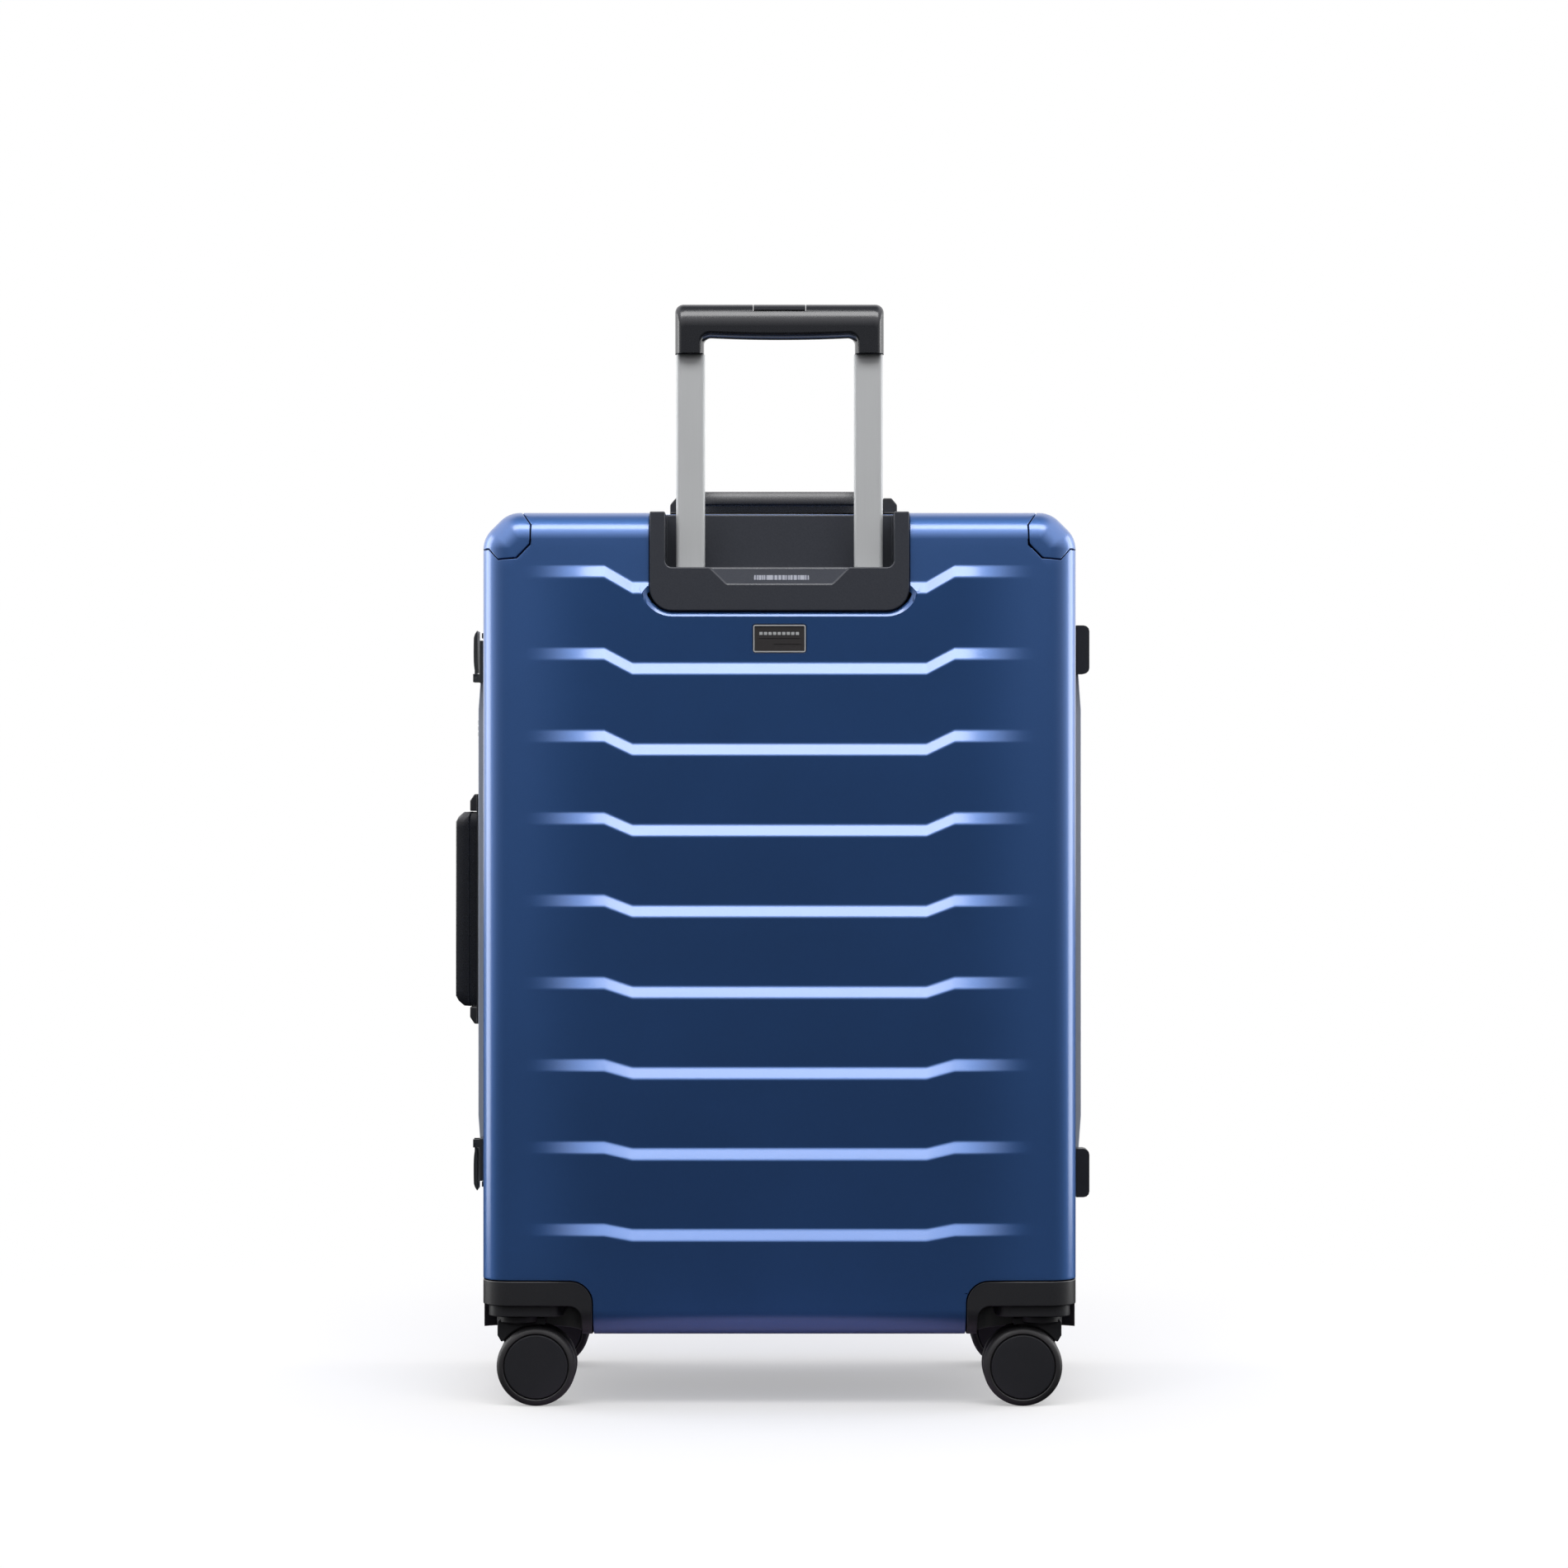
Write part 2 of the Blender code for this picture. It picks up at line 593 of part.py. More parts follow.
def nameplate(case_shell):
    """A plain plate in a shallow pocket that follows the slope of the step it sits on."""
    slope = math.atan2(STEP_DEPTH, MIDDLE_PITCH - BAND)
    height = 0.5609
    fall = (MIDDLE_TOP - BAND - height) / (MIDDLE_PITCH - BAND)
    place = Matrix.Translation((0, -REAR_Y + STEP_DEPTH * fall, height)) @ Matrix.Rotation(slope, 4, "X")
    plate_box = box("nameplate", (-0.0192, -0.0002, -0.0101), (0.0192, 0.0010, 0.0101), "plate", 0.0004, 1)
    pocket = box("nameplate_pocket", (-0.0196, -0.0100, -0.0105), (0.0196, 0.0013, 0.0105))
    for piece in (plate_box, pocket):
        piece.data.transform(place)
    boolean(case_shell, pocket)


# --- Handles -------------------------------------------------------------------------------------


def top_handle(case_shell):
    """A base with two end caps on the case's top, and a grip on two posts that slide up out of it."""
    x, y, seat = TOP_HANDLE_X, TOP_HANDLE_Y, 0.6546
    rest = seat + 0.0018 + GAP
    half, cap = 0.0845, 0.0105
    floor = box("top_handle_base", (x - half, y - 0.0140, seat), (x + half, y + 0.0140, seat + 0.0018),
                "black_plastic")
    for tag, sign in (("left", -1), ("right", 1)):
        ends = sorted((x + sign * half, x + sign * (half - cap)))
        end_cap = box(f"top_cap_{tag}", (ends[0], y - 0.0138, seat + 0.0004),
                      (ends[1], y + 0.0138, 0.6678), None, 0.0022)
        boolean(floor, end_cap, "UNION")
    grip = box("top_handle_grip", (x - half + cap + 0.0006, y - 0.0120, rest),
               (x + half - cap - 0.0006, y + 0.0120, 0.6733), "black_plastic", 0.0028)
    for tag, sign in (("left", -1), ("right", 1)):
        middle = x + sign * 0.0660
        post = box(f"top_post_{tag}", (middle - 0.0050, y - 0.0040, 0.6330),
                   (middle + 0.0050, y + 0.0040, 0.6660))
        boolean(grip, post, "UNION")
        hole = box(f"top_hole_{tag}", (middle - 0.0054, y - 0.0044, 0.6000),
                   (middle + 0.0054, y + 0.0044, 0.6600))
        boolean(floor, hole)
        boolean(case_shell, hole)
    set_origin(grip, (x, y, seat))


def side_handle(front_frame):
    """The same kind of handle on the front frame's belt, sliding outwards."""
    y, z, seat = SIDE_HANDLE_Y, SIDE_HANDLE_Z, -BELT_HALF_W - GAP
    half, cap = 0.0874, 0.0130
    floor = box("side_handle_base", (seat - 0.0008, y - 0.0110, z - half), (seat, y + 0.0110, z + half),
                "black_plastic")
    for tag, sign in (("lower", -1), ("upper", 1)):
        ends = sorted((z + sign * half, z + sign * (half - cap)))
        end_cap = box(f"side_cap_{tag}", (-0.2355, y - 0.0108, ends[0]),
                      (seat - 0.0002, y + 0.0108, ends[1]), None, 0.0022)
        boolean(floor, end_cap, "UNION")
    grip = box("side_handle_grip", (-0.2468, y - 0.0105, z - half + cap + 0.0006),
               (seat - 0.0008 - GAP, y + 0.0105, z + half - cap - 0.0006), "black_plastic", 0.0040)
    for tag, sign in (("lower", -1), ("upper", 1)):
        middle = z + sign * 0.0640
        post = box(f"side_post_{tag}", (-0.2380, y - 0.0030, middle - 0.0050),
                   (-0.2080, y + 0.0030, middle + 0.0050))
        boolean(grip, post, "UNION")
        hole = box(f"side_hole_{tag}", (-0.2400, y - 0.0034, middle - 0.0054),
                   (-0.2000, y + 0.0034, middle + 0.0054))
        boolean(floor, hole)
        boolean(front_frame, hole)
    set_origin(grip, (seat, y, z))


# --- Latches and lock ----------------------------------------------------------------------------


def latch(label):
    """A base on the rear frame, a lever that lifts at its far end, and a catch on the front frame."""
    z, toward = LATCHES[label]
    pivot = Vector((-0.2298, 0, z + toward * 0.0150))
    far = z - toward * 0.0198
    near = z + toward * 0.0198

    def block(name, x, y, z_pair, finish=None, rounding=0.0):
        low_z, high_z = sorted(z_pair)
        return box(name, (x[0], y[0], low_z), (x[1], y[1], high_z), finish, rounding)

    base = block(f"latch_base_{label}", (-0.2270, -0.2243), (-0.0156, -0.0012),
                 (far + toward * 0.0075, near),
                 "gunmetal", 0.0004)
    for tag, ys in (("rear", (-0.0154, -0.0134)), ("front", (-0.0034, -0.0014))):
        ear = block(f"ear_{label}_{tag}", (-0.2318, -0.2250), ys,
                    (pivot.z - toward * 0.0020, near - toward * 0.0006))
        boolean(base, ear, "UNION")
    hole = cylinder(f"pin_hole_{label}", (pivot.x, -0.0300, pivot.z), (pivot.x, 0.0, pivot.z), 0.0011,
                    None, 12)
    boolean(base, hole)
    arm = block(f"latch_arm_{label}", (-0.2312, -0.2285), (-0.0130, 0.0150),
                (far, pivot.z - toward * 0.0032), None, 0.0006)
    lever = joined(f"latch_lever_{label}", [arm], "gunmetal")
    tip = block(f"lever_tip_{label}", (-0.2308, -0.2270), (0.0040, 0.0146),
                (far + toward * 0.0006, far + toward * 0.0050))
    neck = block(f"lever_neck_{label}", (-0.2308, -0.2290), (-0.0128, -0.0040),
                 (pivot.z, pivot.z - toward * 0.0060))
    barrel = cylinder(f"lever_barrel_{label}", (pivot.x, -0.0128, pivot.z), (pivot.x, -0.0040, pivot.z),
                      0.0014, None, 12)
    pin = cylinder(f"lever_pin_{label}", (pivot.x, -0.0150, pivot.z), (pivot.x, -0.0018, pivot.z), 0.0008,
                   None, 12)
    for piece in (neck, barrel, pin, tip):
        boolean(lever, piece, "UNION")
    set_origin(lever, (pivot.x, -0.0084, pivot.z))
    seat = (far + toward * 0.0012, far + toward * 0.0052)
    block(f"latch_catch_{label}", (-0.2266, -0.2255), (0.0040, 0.0150), seat, "gunmetal")


def lock(front_frame):
    """A combination lock let into the belt, just past the upper latch, with three thumb dials."""
    y, low, high = SIDE_HANDLE_Y, DIAL_Z[0] - 0.0050, DIAL_Z[-1] + 0.0050
    pocket = box("lock_pocket", (-0.2400, y - 0.0093, low - GAP), (-0.2200, y + 0.0093, high + GAP))
    boolean(front_frame, pocket)
    body = box("lock_body", (-0.2293, y - 0.0090, low), (-0.2203, y + 0.0090, high), "gunmetal", 0.0006, 1)
    slot = box("dial_slot", (-0.2400, y - 0.0052, low + 0.0028), (-0.2232, y + 0.0052, high - 0.0028))
    spindle = cylinder("dial_spindle", (-0.2268, y, low + 0.0020), (-0.2268, y, high - 0.0020), 0.0009,
                       None, 12)
    bore = cylinder("dial_bore", (-0.2268, y, low), (-0.2268, y, high), 0.0012, None, 12)
    boolean(body, slot)
    boolean(body, spindle, "UNION")
    for i, z in enumerate(DIAL_Z):
        dial = cylinder(f"lock_dial_{i + 1}", (-0.2268, y, z - 0.0016), (-0.2268, y, z + 0.0016), 0.0034,
                        "steel", 20)
        boolean(dial, bore)
        set_origin(dial, (-0.2268, y, z))


# --- Hinges --------------------------------------------------------------------------------------


def hinge(label):
    """A rounded block on the rear frame, with a leaf on the front frame whose knuckle sits in its middle."""
    z, out, inner = HINGES[label], HINGE_X + KNUCKLE_R, FRAME_HALF_W + GAP
    half, mid, clear = 0.01835, 0.0062, 0.0066
    ends = rounded((inner, z - half), (out, z + half), 0.0044, corners="0110", steps=3)
    block = plate(f"hinge_block_{label}", [ends], "y", -0.0155, 0.0, "black_plastic")
    for tag, low, high in (("lower", z - half + 0.0044, z - clear),
                           ("upper", z + clear, z + half - 0.0044)):
        knuckle = cylinder(f"knuckle_{label}_{tag}", (HINGE_X, 0, low), (HINGE_X, 0, high), KNUCKLE_R)
        boolean(block, knuckle, "UNION")
    trim = box(f"hinge_trim_{label}", (inner - 0.0100, -0.0003, z - 0.0300),
               (HINGE_X - 0.0037, 0.0100, z + 0.0300))
    boolean(block, trim)
    notch = box(f"hinge_notch_{label}", (HINGE_X + 0.0015, -0.0119, z - clear), (0.2500, 0.0100, z + clear))
    room = box(f"hinge_room_{label}", (inner - 0.0100, -0.0041, z - clear), (0.2500, 0.0100, z + clear))
    for cutter in (notch, room):
        boolean(block, cutter)
    bore = cylinder(f"hinge_bore_{label}", (HINGE_X, 0, z - half + 0.0060),
                    (HINGE_X, 0, z + half - 0.0060), 0.0017, None, 16)
    boolean(block, bore)
    knuckle = cylinder(f"hinge_knuckle_{label}", (HINGE_X, 0, z - mid), (HINGE_X, 0, z + mid), KNUCKLE_R)
    leaf = joined(f"hinge_leaf_{label}", [knuckle], "steel")
    arm = box(f"hinge_arm_{label}", (0.2268, 0.0010, z - mid + 0.0001), (0.2286, 0.0112, z + mid - 0.0001))
    pin = cylinder(f"hinge_pin_{label}", (HINGE_X, 0, z - half + 0.0064), (HINGE_X, 0, z + half - 0.0064),
                   0.0014, None, 16)
    boolean(leaf, arm, "UNION")
    boolean(leaf, pin, "UNION")
    set_origin(leaf, (HINGE_X, 0, z))


# --- Casters -------------------------------------------------------------------------------------


def wheel(name, x, face_y, outward):
    """A turned wheel with a blind bore. Its outer face looks along outward, which is -1 or 1 in Y."""
    profile = [
        (0.0, WHEEL_W), (0.0230, WHEEL_W), (0.0235, WHEEL_W - 0.0006), (0.0241, WHEEL_W - 0.0006),
        (0.0246, WHEEL_W), (0.0266, WHEEL_W - 0.0006), (WHEEL_R, WHEEL_W - 0.0034), (WHEEL_R, 0.0026),
        (0.0268, 0.0), (0.0022, 0.0), (0.0022, 0.0110), (0.0, 0.0110),
    ]
    bm = bmesh.new()
    verts = [bm.verts.new((r, 0, a)) for r, a in profile]
    for first, second in zip(verts, verts[1:]):
        bm.edges.new((first, second))
    mesh = bpy.data.meshes.new(name)
    bm.to_mesh(mesh)
    bm.free()
    obj = placed(name, mesh, "wheel_rubber")
    turned = obj.modifiers.new("turned", "SCREW")
    turned.steps = 24
    turned.render_steps = 24
    turned.use_merge_vertices = True
    turned.merge_threshold = 0.00001
    obj.rotation_euler = (-outward * math.pi / 2, 0, 0)
    obj.location = (x, face_y, WHEEL_R)


def caster(half, label, side, sign):
    """A swivelling fork with a web between twin wheels, and its axle."""
    name = f"{half}_{label}"
    x, y = sign * SWIVEL_X, side * SWIVEL_Y
    axle_x = x - sign * TRAIL

    def spindle(tag, radius, low, high):
        return cylinder(f"{tag}_{name}", (x, y, low), (x, y, high), radius, None, 24)

    web = [(x + sign * 0.0140, 0.0650), (x + sign * 0.0152, 0.0560), (x + sign * 0.0120, 0.0465),
           (axle_x + sign * 0.0060, 0.0250), (axle_x, 0.0225), (axle_x - sign * 0.0060, 0.0260),
           (axle_x - sign * 0.0065, 0.0340), (x - sign * 0.0135, 0.0600), (x - sign * 0.0135, 0.0650)]
    rib = plate(f"caster_web_{name}", [web if sign > 0 else web[::-1]], "y", y - 0.0030, y + 0.0030)
    disc = spindle("caster_disc", 0.0165, 0.0598, CEILING - 0.0006)
    stem = spindle("caster_stem", 0.0040, 0.0600, 0.0718)
    head = spindle("caster_head", 0.0065, CEILING + 0.0033, 0.0718)
    fork = joined(f"caster_fork_{name}", [rib], "black_plastic")
    for piece in (disc, stem, head):
        boolean(fork, piece, "UNION")
    hole = cylinder(f"caster_bore_{name}", (axle_x, y - 0.0100, WHEEL_R), (axle_x, y + 0.0100, WHEEL_R),
                    0.0023, None, 16)
    boolean(fork, hole)
    set_origin(fork, (x, y, CEILING))
    axle = cylinder(f"caster_axle_{name}", (axle_x, y - 0.0130, WHEEL_R), (axle_x, y + 0.0130, WHEEL_R),
                    0.0020, "steel", 16)
    set_origin(axle, (axle_x, y, WHEEL_R))
    for tag, outward in (("outer", side), ("inner", -side)):
        wheel(f"wheel_{name}_{tag}", axle_x, y + outward * WHEEL_GAP, outward)


# --- Assembly ------------------------------------------------------------------------------------


def build():
    front_frame = frames()
    rear_mouth, front_mouth = -REAR_LIP - 2 * GAP, FRONT_LIP + 2 * GAP
    rear_shell = walled_form("rear_shell", -1, rear_mouth)
    front_shell = walled_form("front_shell", 1, front_mouth)
    corner_pieces("rear", -1, rear_mouth, rear_shell)
    corner_pieces("front", 1, front_mouth, front_shell)
    linings()
    trolley_housing(rear_shell)
    trolley_tubes()
    trolley_grip()
    nameplate(rear_shell)
    top_handle(rear_shell)
    side_handle(front_frame)
    lock(front_frame)
    for label in ("upper", "lower"):
        latch(label)
        hinge(label)
    for half, side in (("rear", -1), ("front", 1)):
        for label, sign in (("left", -1), ("right", 1)):
            caster(half, label, side, sign)


build()
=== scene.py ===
# Hard shell suitcase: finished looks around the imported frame, which stands at rest in metres.
import json
import math

import bmesh
import bpy
from mathutils import Matrix, Vector

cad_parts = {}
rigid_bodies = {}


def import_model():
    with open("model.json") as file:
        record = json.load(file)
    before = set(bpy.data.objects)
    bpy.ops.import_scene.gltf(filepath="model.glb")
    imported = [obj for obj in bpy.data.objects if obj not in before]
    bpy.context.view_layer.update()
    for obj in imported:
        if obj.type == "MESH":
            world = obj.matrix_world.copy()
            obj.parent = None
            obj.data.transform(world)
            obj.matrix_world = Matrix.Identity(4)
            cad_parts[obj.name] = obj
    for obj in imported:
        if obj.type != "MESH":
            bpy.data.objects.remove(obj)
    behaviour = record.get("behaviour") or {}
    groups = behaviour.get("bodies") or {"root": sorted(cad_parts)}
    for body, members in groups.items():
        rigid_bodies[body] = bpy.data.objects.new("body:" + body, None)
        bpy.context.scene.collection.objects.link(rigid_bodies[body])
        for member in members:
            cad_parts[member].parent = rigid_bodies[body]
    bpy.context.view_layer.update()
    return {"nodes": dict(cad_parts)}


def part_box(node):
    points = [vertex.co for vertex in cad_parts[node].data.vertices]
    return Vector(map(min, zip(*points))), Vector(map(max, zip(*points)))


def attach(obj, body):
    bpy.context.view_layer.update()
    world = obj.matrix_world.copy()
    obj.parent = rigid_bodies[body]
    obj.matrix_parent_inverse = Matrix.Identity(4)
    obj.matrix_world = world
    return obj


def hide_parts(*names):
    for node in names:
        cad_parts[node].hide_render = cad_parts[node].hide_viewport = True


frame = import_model()
nodes = frame["nodes"]
shellLow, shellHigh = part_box("rear_shell")
midX = (shellLow.x + shellHigh.x) / 2  # pieces are built about the case's own middle and moved here
print("frame loaded:", len(nodes), "nodes")

halves = {"rear": -1, "front": 1}
sides = {"left": -1, "right": 1}


# mesh helpers
def linked(name, mesh):
    obj = bpy.data.objects.new(name, mesh)
    bpy.context.scene.collection.objects.link(obj)
    return obj


def fromBmesh(name, bm, fixNormals=True):
    if fixNormals:
        bmesh.ops.recalc_face_normals(bm, faces=bm.faces)
    mesh = bpy.data.meshes.new(name)
    bm.to_mesh(mesh)
    bm.free()
    return linked(name, mesh)


def block(name, low, high):
    bm = bmesh.new()
    bmesh.ops.create_cube(bm, size=1)
    for v in bm.verts:
        v.co = Vector(high[i] if v.co[i] > 0 else low[i] for i in range(3))
    return fromBmesh(name, bm)


def rod(name, start, end, radius, segments=48):
    bm = bmesh.new()
    start, end = Vector(start), Vector(end)
    turn = (end - start).to_track_quat("Z", "Y").to_matrix().to_4x4()
    bmesh.ops.create_cone(bm, cap_ends=True, segments=segments, radius1=radius, radius2=radius,
                          depth=(end - start).length, matrix=Matrix.Translation((start + end) / 2) @ turn)
    return fromBmesh(name, bm)


# extrudes a closed outline of (u, v) points from low to high along x, y or z
def prism(name, outline, axis, low, high):
    place = {"x": lambda u, v, w: (w, u, v), "y": lambda u, v, w: (u, w, v), "z": lambda u, v, w: (u, v, w)}[axis]
    bm = bmesh.new()
    bottom = [bm.verts.new(place(u, v, low)) for u, v in outline]
    top = [bm.verts.new(place(u, v, high)) for u, v in outline]
    bm.faces.new(bottom)
    bm.faces.new(top[::-1])
    count = len(outline)
    for i in range(count):
        k = (i + 1) % count
        bm.faces.new((bottom[i], bottom[k], top[k], top[i]))
    return fromBmesh(name, bm)


# a skin over rings of points, each ring with the same number of points
def lofted(name, rings, capped=True):
    bm = bmesh.new()
    rows = [[bm.verts.new(p) for p in ring] for ring in rings]
    count = len(rows[0])
    for a, b in zip(rows, rows[1:]):
        for i in range(count):
            k = (i + 1) % count
            bm.faces.new((a[i], a[k], b[k], b[i]))
    if capped:
        bm.faces.new(rows[0][::-1])
        bm.faces.new(rows[-1])
    return fromBmesh(name, bm)


# a solid of revolution. The profile gives (radius, distance along the axis) and starts and ends on it
def turned(name, profile, centre, axis, segments=64):
    bm = bmesh.new()
    spin = Vector(axis).to_track_quat("Z", "Y").to_matrix().to_4x4()
    rows = []
    for radius, along in profile:
        if radius < 1e-6:
            rows.append([bm.verts.new((0, 0, along))])
            continue
        angles = (2 * math.pi * i / segments for i in range(segments))
        rows.append([bm.verts.new((radius * math.cos(a), radius * math.sin(a), along)) for a in angles])
    for a, b in zip(rows, rows[1:]):
        for i in range(segments):
            k = (i + 1) % segments
            quad = [a[i % len(a)], a[k % len(a)], b[k % len(b)], b[i % len(b)]]
            corners = list(dict.fromkeys(quad))
            if len(corners) > 2:
                bm.faces.new(corners)
    bmesh.ops.transform(bm, matrix=Matrix.Translation(centre) @ spin, verts=bm.verts)
    return fromBmesh(name, bm)


# a rectangle's outline. The radii are for its low-low, high-low, high-high and low-high corners
def roundedOutline(low, high, radii, steps=8):
    marks = ((low[0], low[1], 180), (high[0], low[1], 270), (high[0], high[1], 0), (low[0], high[1], 90))
    points = []
    for (u, v, start), r in zip(marks, radii):
        if r <= 0:
            points.append((u, v))
            continue
        cu, cv = u + (r if u == low[0] else -r), v + (r if v == low[1] else -r)
        for i in range(steps + 1):
            a = math.radians(start + 90 * i / steps)
            points.append((cu + r * math.cos(a), cv + r * math.sin(a)))
    return points


def flipped(outline):
    return [(-u, v) for u, v in reversed(outline)]


def cut(obj, other, operation="DIFFERENCE"):
    made = obj.modifiers.new("cut", "BOOLEAN")
    made.operation = operation
    made.solver = "EXACT"
    made.object = other
    other.hide_render = True
    other["isTool"] = True
    return obj


def soften(obj, width, segments=3, angle=40, clamp=True):
    made = obj.modifiers.new("soft edges", "BEVEL")
    made.width = width
    made.segments = segments
    made.limit_method = "ANGLE"
    made.angle_limit = math.radians(angle)
    made.use_clamp_overlap = clamp
    made.miter_outer = "MITER_ARC"
    return obj


def weld(obj, distance=0.00012):
    made = obj.modifiers.new("weld", "WELD")
    made.merge_threshold = distance
    return obj


# applies an object's modifiers and place to its mesh, and smooths it up to its sharp edges
def settle(obj, sharp=38, weighted=True):
    obj.data = baked(obj)
    obj.modifiers.clear()
    obj.data.shade_smooth()
    obj.data.set_sharp_from_angle(angle=math.radians(sharp))
    if weighted:
        level = obj.modifiers.new("normals", "WEIGHTED_NORMAL")
        level.keep_sharp = True
        level.weight = 80
        obj.data = baked(obj)
        obj.modifiers.clear()
    obj.data.transform(Matrix.Translation((midX, 0, 0)) @ obj.matrix_world)
    obj.matrix_world = Matrix.Identity(4)
    return obj


def baked(obj):
    bpy.context.view_layer.update()
    depsgraph = bpy.context.evaluated_depsgraph_get()
    return bpy.data.meshes.new_from_object(obj.evaluated_get(depsgraph))


def clearTools():
    for obj in [o for o in bpy.data.objects if o.get("isTool")]:
        bpy.data.objects.remove(obj, do_unlink=True)


# gives a settled piece its material and its body, and hides the nodes it stands for
def show(obj, finish, body, slot, *stands):
    obj.data.materials.clear()
    obj.data.materials.append(finish)
    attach(obj, body)
    if stands:
        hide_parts(*stands)
    return obj


# node helpers, for shader trees and geometry trees alike
def feed(tree, socket, value):
    if isinstance(value, bpy.types.NodeSocket):
        tree.links.new(value, socket)
    elif value is not None:
        socket.default_value = value


def calc(tree, operation, *values, clamp=False):
    node = tree.nodes.new("ShaderNodeMath")
    node.operation = operation
    node.use_clamp = clamp
    for socket, value in zip(node.inputs, values):
        feed(tree, socket, value)
    return node.outputs[0]


def ranged(tree, value, low, high, toLow=0.0, toHigh=1.0, smooth=False):
    node = tree.nodes.new("ShaderNodeMapRange")
    node.interpolation_type = "SMOOTHSTEP" if smooth else "LINEAR"
    for socket, item in zip(node.inputs, (value, low, high, toLow, toHigh)):
        feed(tree, socket, item)
    return node.outputs[0]


def noise(tree, vector, scale, detail=2.0, roughness=0.5, distortion=0.0):
    node = tree.nodes.new("ShaderNodeTexNoise")
    values = {"Vector": vector, "Scale": scale, "Detail": detail, "Roughness": roughness, "Distortion": distortion}
    for label, value in values.items():
        feed(tree, node.inputs[label], value)
    return node.outputs[0]


def cells(tree, vector, scale, feature="F1"):
    node = tree.nodes.new("ShaderNodeTexVoronoi")
    node.feature = feature
    feed(tree, node.inputs["Vector"], vector)
    feed(tree, node.inputs["Scale"], scale)
    return node


def mixed(tree, factor, a, b):
    node = tree.nodes.new("ShaderNodeMix")
    node.data_type = "RGBA"
    feed(tree, node.inputs[0], factor)
    feed(tree, node.inputs[6], a)
    feed(tree, node.inputs[7], b)
    return node.outputs[2]


def stretched(tree, vector, scale):
    node = tree.nodes.new("ShaderNodeMapping")
    feed(tree, node.inputs["Vector"], vector)
    node.inputs["Scale"].default_value = scale
    return node.outputs[0]


# a shared effect: named inputs and outputs, wired by a function that gets the tree and its sockets
def shaderGroup(name, inputs, outputs, wire):
    tree = bpy.data.node_groups.new(name, "ShaderNodeTree")
    for label, kind, value in inputs:
        socket = tree.interface.new_socket(label, in_out="INPUT", socket_type=kind)
        if value is not None:
            socket.default_value = value
    for label, kind in outputs:
        tree.interface.new_socket(label, in_out="OUTPUT", socket_type=kind)
    source = tree.nodes.new("NodeGroupInput")
    target = tree.nodes.new("NodeGroupOutput")
    for label, socket in wire(tree, source.outputs).items():
        tree.links.new(socket, target.inputs[label])
    return tree


scalar, vectorKind, colourKind = "NodeSocketFloat", "NodeSocketVector", "NodeSocketColor"


def wireHandling(tree, got):
    # soft smears and a few fine scratches, as a case gets from handling
    smear = ranged(tree, noise(tree, got["Vector"], got["Scale"], 4.0, 0.6, 0.4), 0.42, 0.72)
    finer = calc(tree, "MULTIPLY", got["Scale"], 60.0)
    streak = noise(tree, stretched(tree, got["Vector"], (1.0, 1.0, 0.12)), finer, 1.0)
    scratch = ranged(tree, streak, 0.70, 0.78)
    both = calc(tree, "MULTIPLY", scratch, smear)
    return {"Smear": smear, "Scratch": both}


handling = shaderGroup("handling", [("Vector", vectorKind, None), ("Scale", scalar, 9.0)],
                       [("Smear", scalar), ("Scratch", scalar)], wireHandling)


def wireGrain(tree, got):
    # moulded grain: rounded cells with finer noise over them
    cell = cells(tree, got["Vector"], got["Scale"], "SMOOTH_F1").outputs["Distance"]
    fine = noise(tree, got["Vector"], calc(tree, "MULTIPLY", got["Scale"], 2.7), 2.0, 0.6)
    height = calc(tree, "MULTIPLY_ADD", fine, 0.45, calc(tree, "MULTIPLY", cell, 0.75))
    return {"Height": height, "Pits": ranged(tree, cell, 0.15, 0.6)}


grain = shaderGroup("mouldedGrain", [("Vector", vectorKind, None), ("Scale", scalar, 900.0)],
                    [("Height", scalar), ("Pits", scalar)], wireGrain)


def wireFlake(tree, got):
    # metal flakes in the lacquer, and the slow waviness of its surface
    flake = cells(tree, got["Vector"], got["Scale"]).outputs["Color"]
    split = tree.nodes.new("ShaderNodeSeparateColor")
    tree.links.new(flake, split.inputs[0])
    peel = noise(tree, got["Vector"], calc(tree, "MULTIPLY", got["Scale"], 0.12), 2.0, 0.5)
    cloud = noise(tree, got["Vector"], 3.0, 2.0, 0.5)
    return {"Sparkle": split.outputs[0], "Peel": peel, "Cloud": cloud}


flakes = shaderGroup("lacquerFlakes", [("Vector", vectorKind, None), ("Scale", scalar, 2600.0)],
                     [("Sparkle", scalar), ("Peel", scalar), ("Cloud", scalar)], wireFlake)


def wireWeave(tree, got):
    # plain weave: threads over and under each other along U and V
    split = tree.nodes.new("ShaderNodeSeparateXYZ")
    tree.links.new(got["Vector"], split.inputs[0])
    u = calc(tree, "MULTIPLY", split.outputs[0], got["Threads"])
    v = calc(tree, "MULTIPLY", split.outputs[1], got["Threads"])
    across = calc(tree, "SINE", calc(tree, "MULTIPLY", u, math.pi))
    along = calc(tree, "SINE", calc(tree, "MULTIPLY", v, math.pi))
    ups = calc(tree, "MULTIPLY", across, along)
    over = calc(tree, "ABSOLUTE", across)
    under = calc(tree, "ABSOLUTE", along)
    height = calc(tree, "MAXIMUM", calc(tree, "MULTIPLY", over, ranged(tree, ups, -0.2, 0.2, 1.0, 0.4)),
                  calc(tree, "MULTIPLY", under, ranged(tree, ups, -0.2, 0.2, 0.4, 1.0)))
    return {"Height": height, "Over": ranged(tree, ups, -0.3, 0.3)}


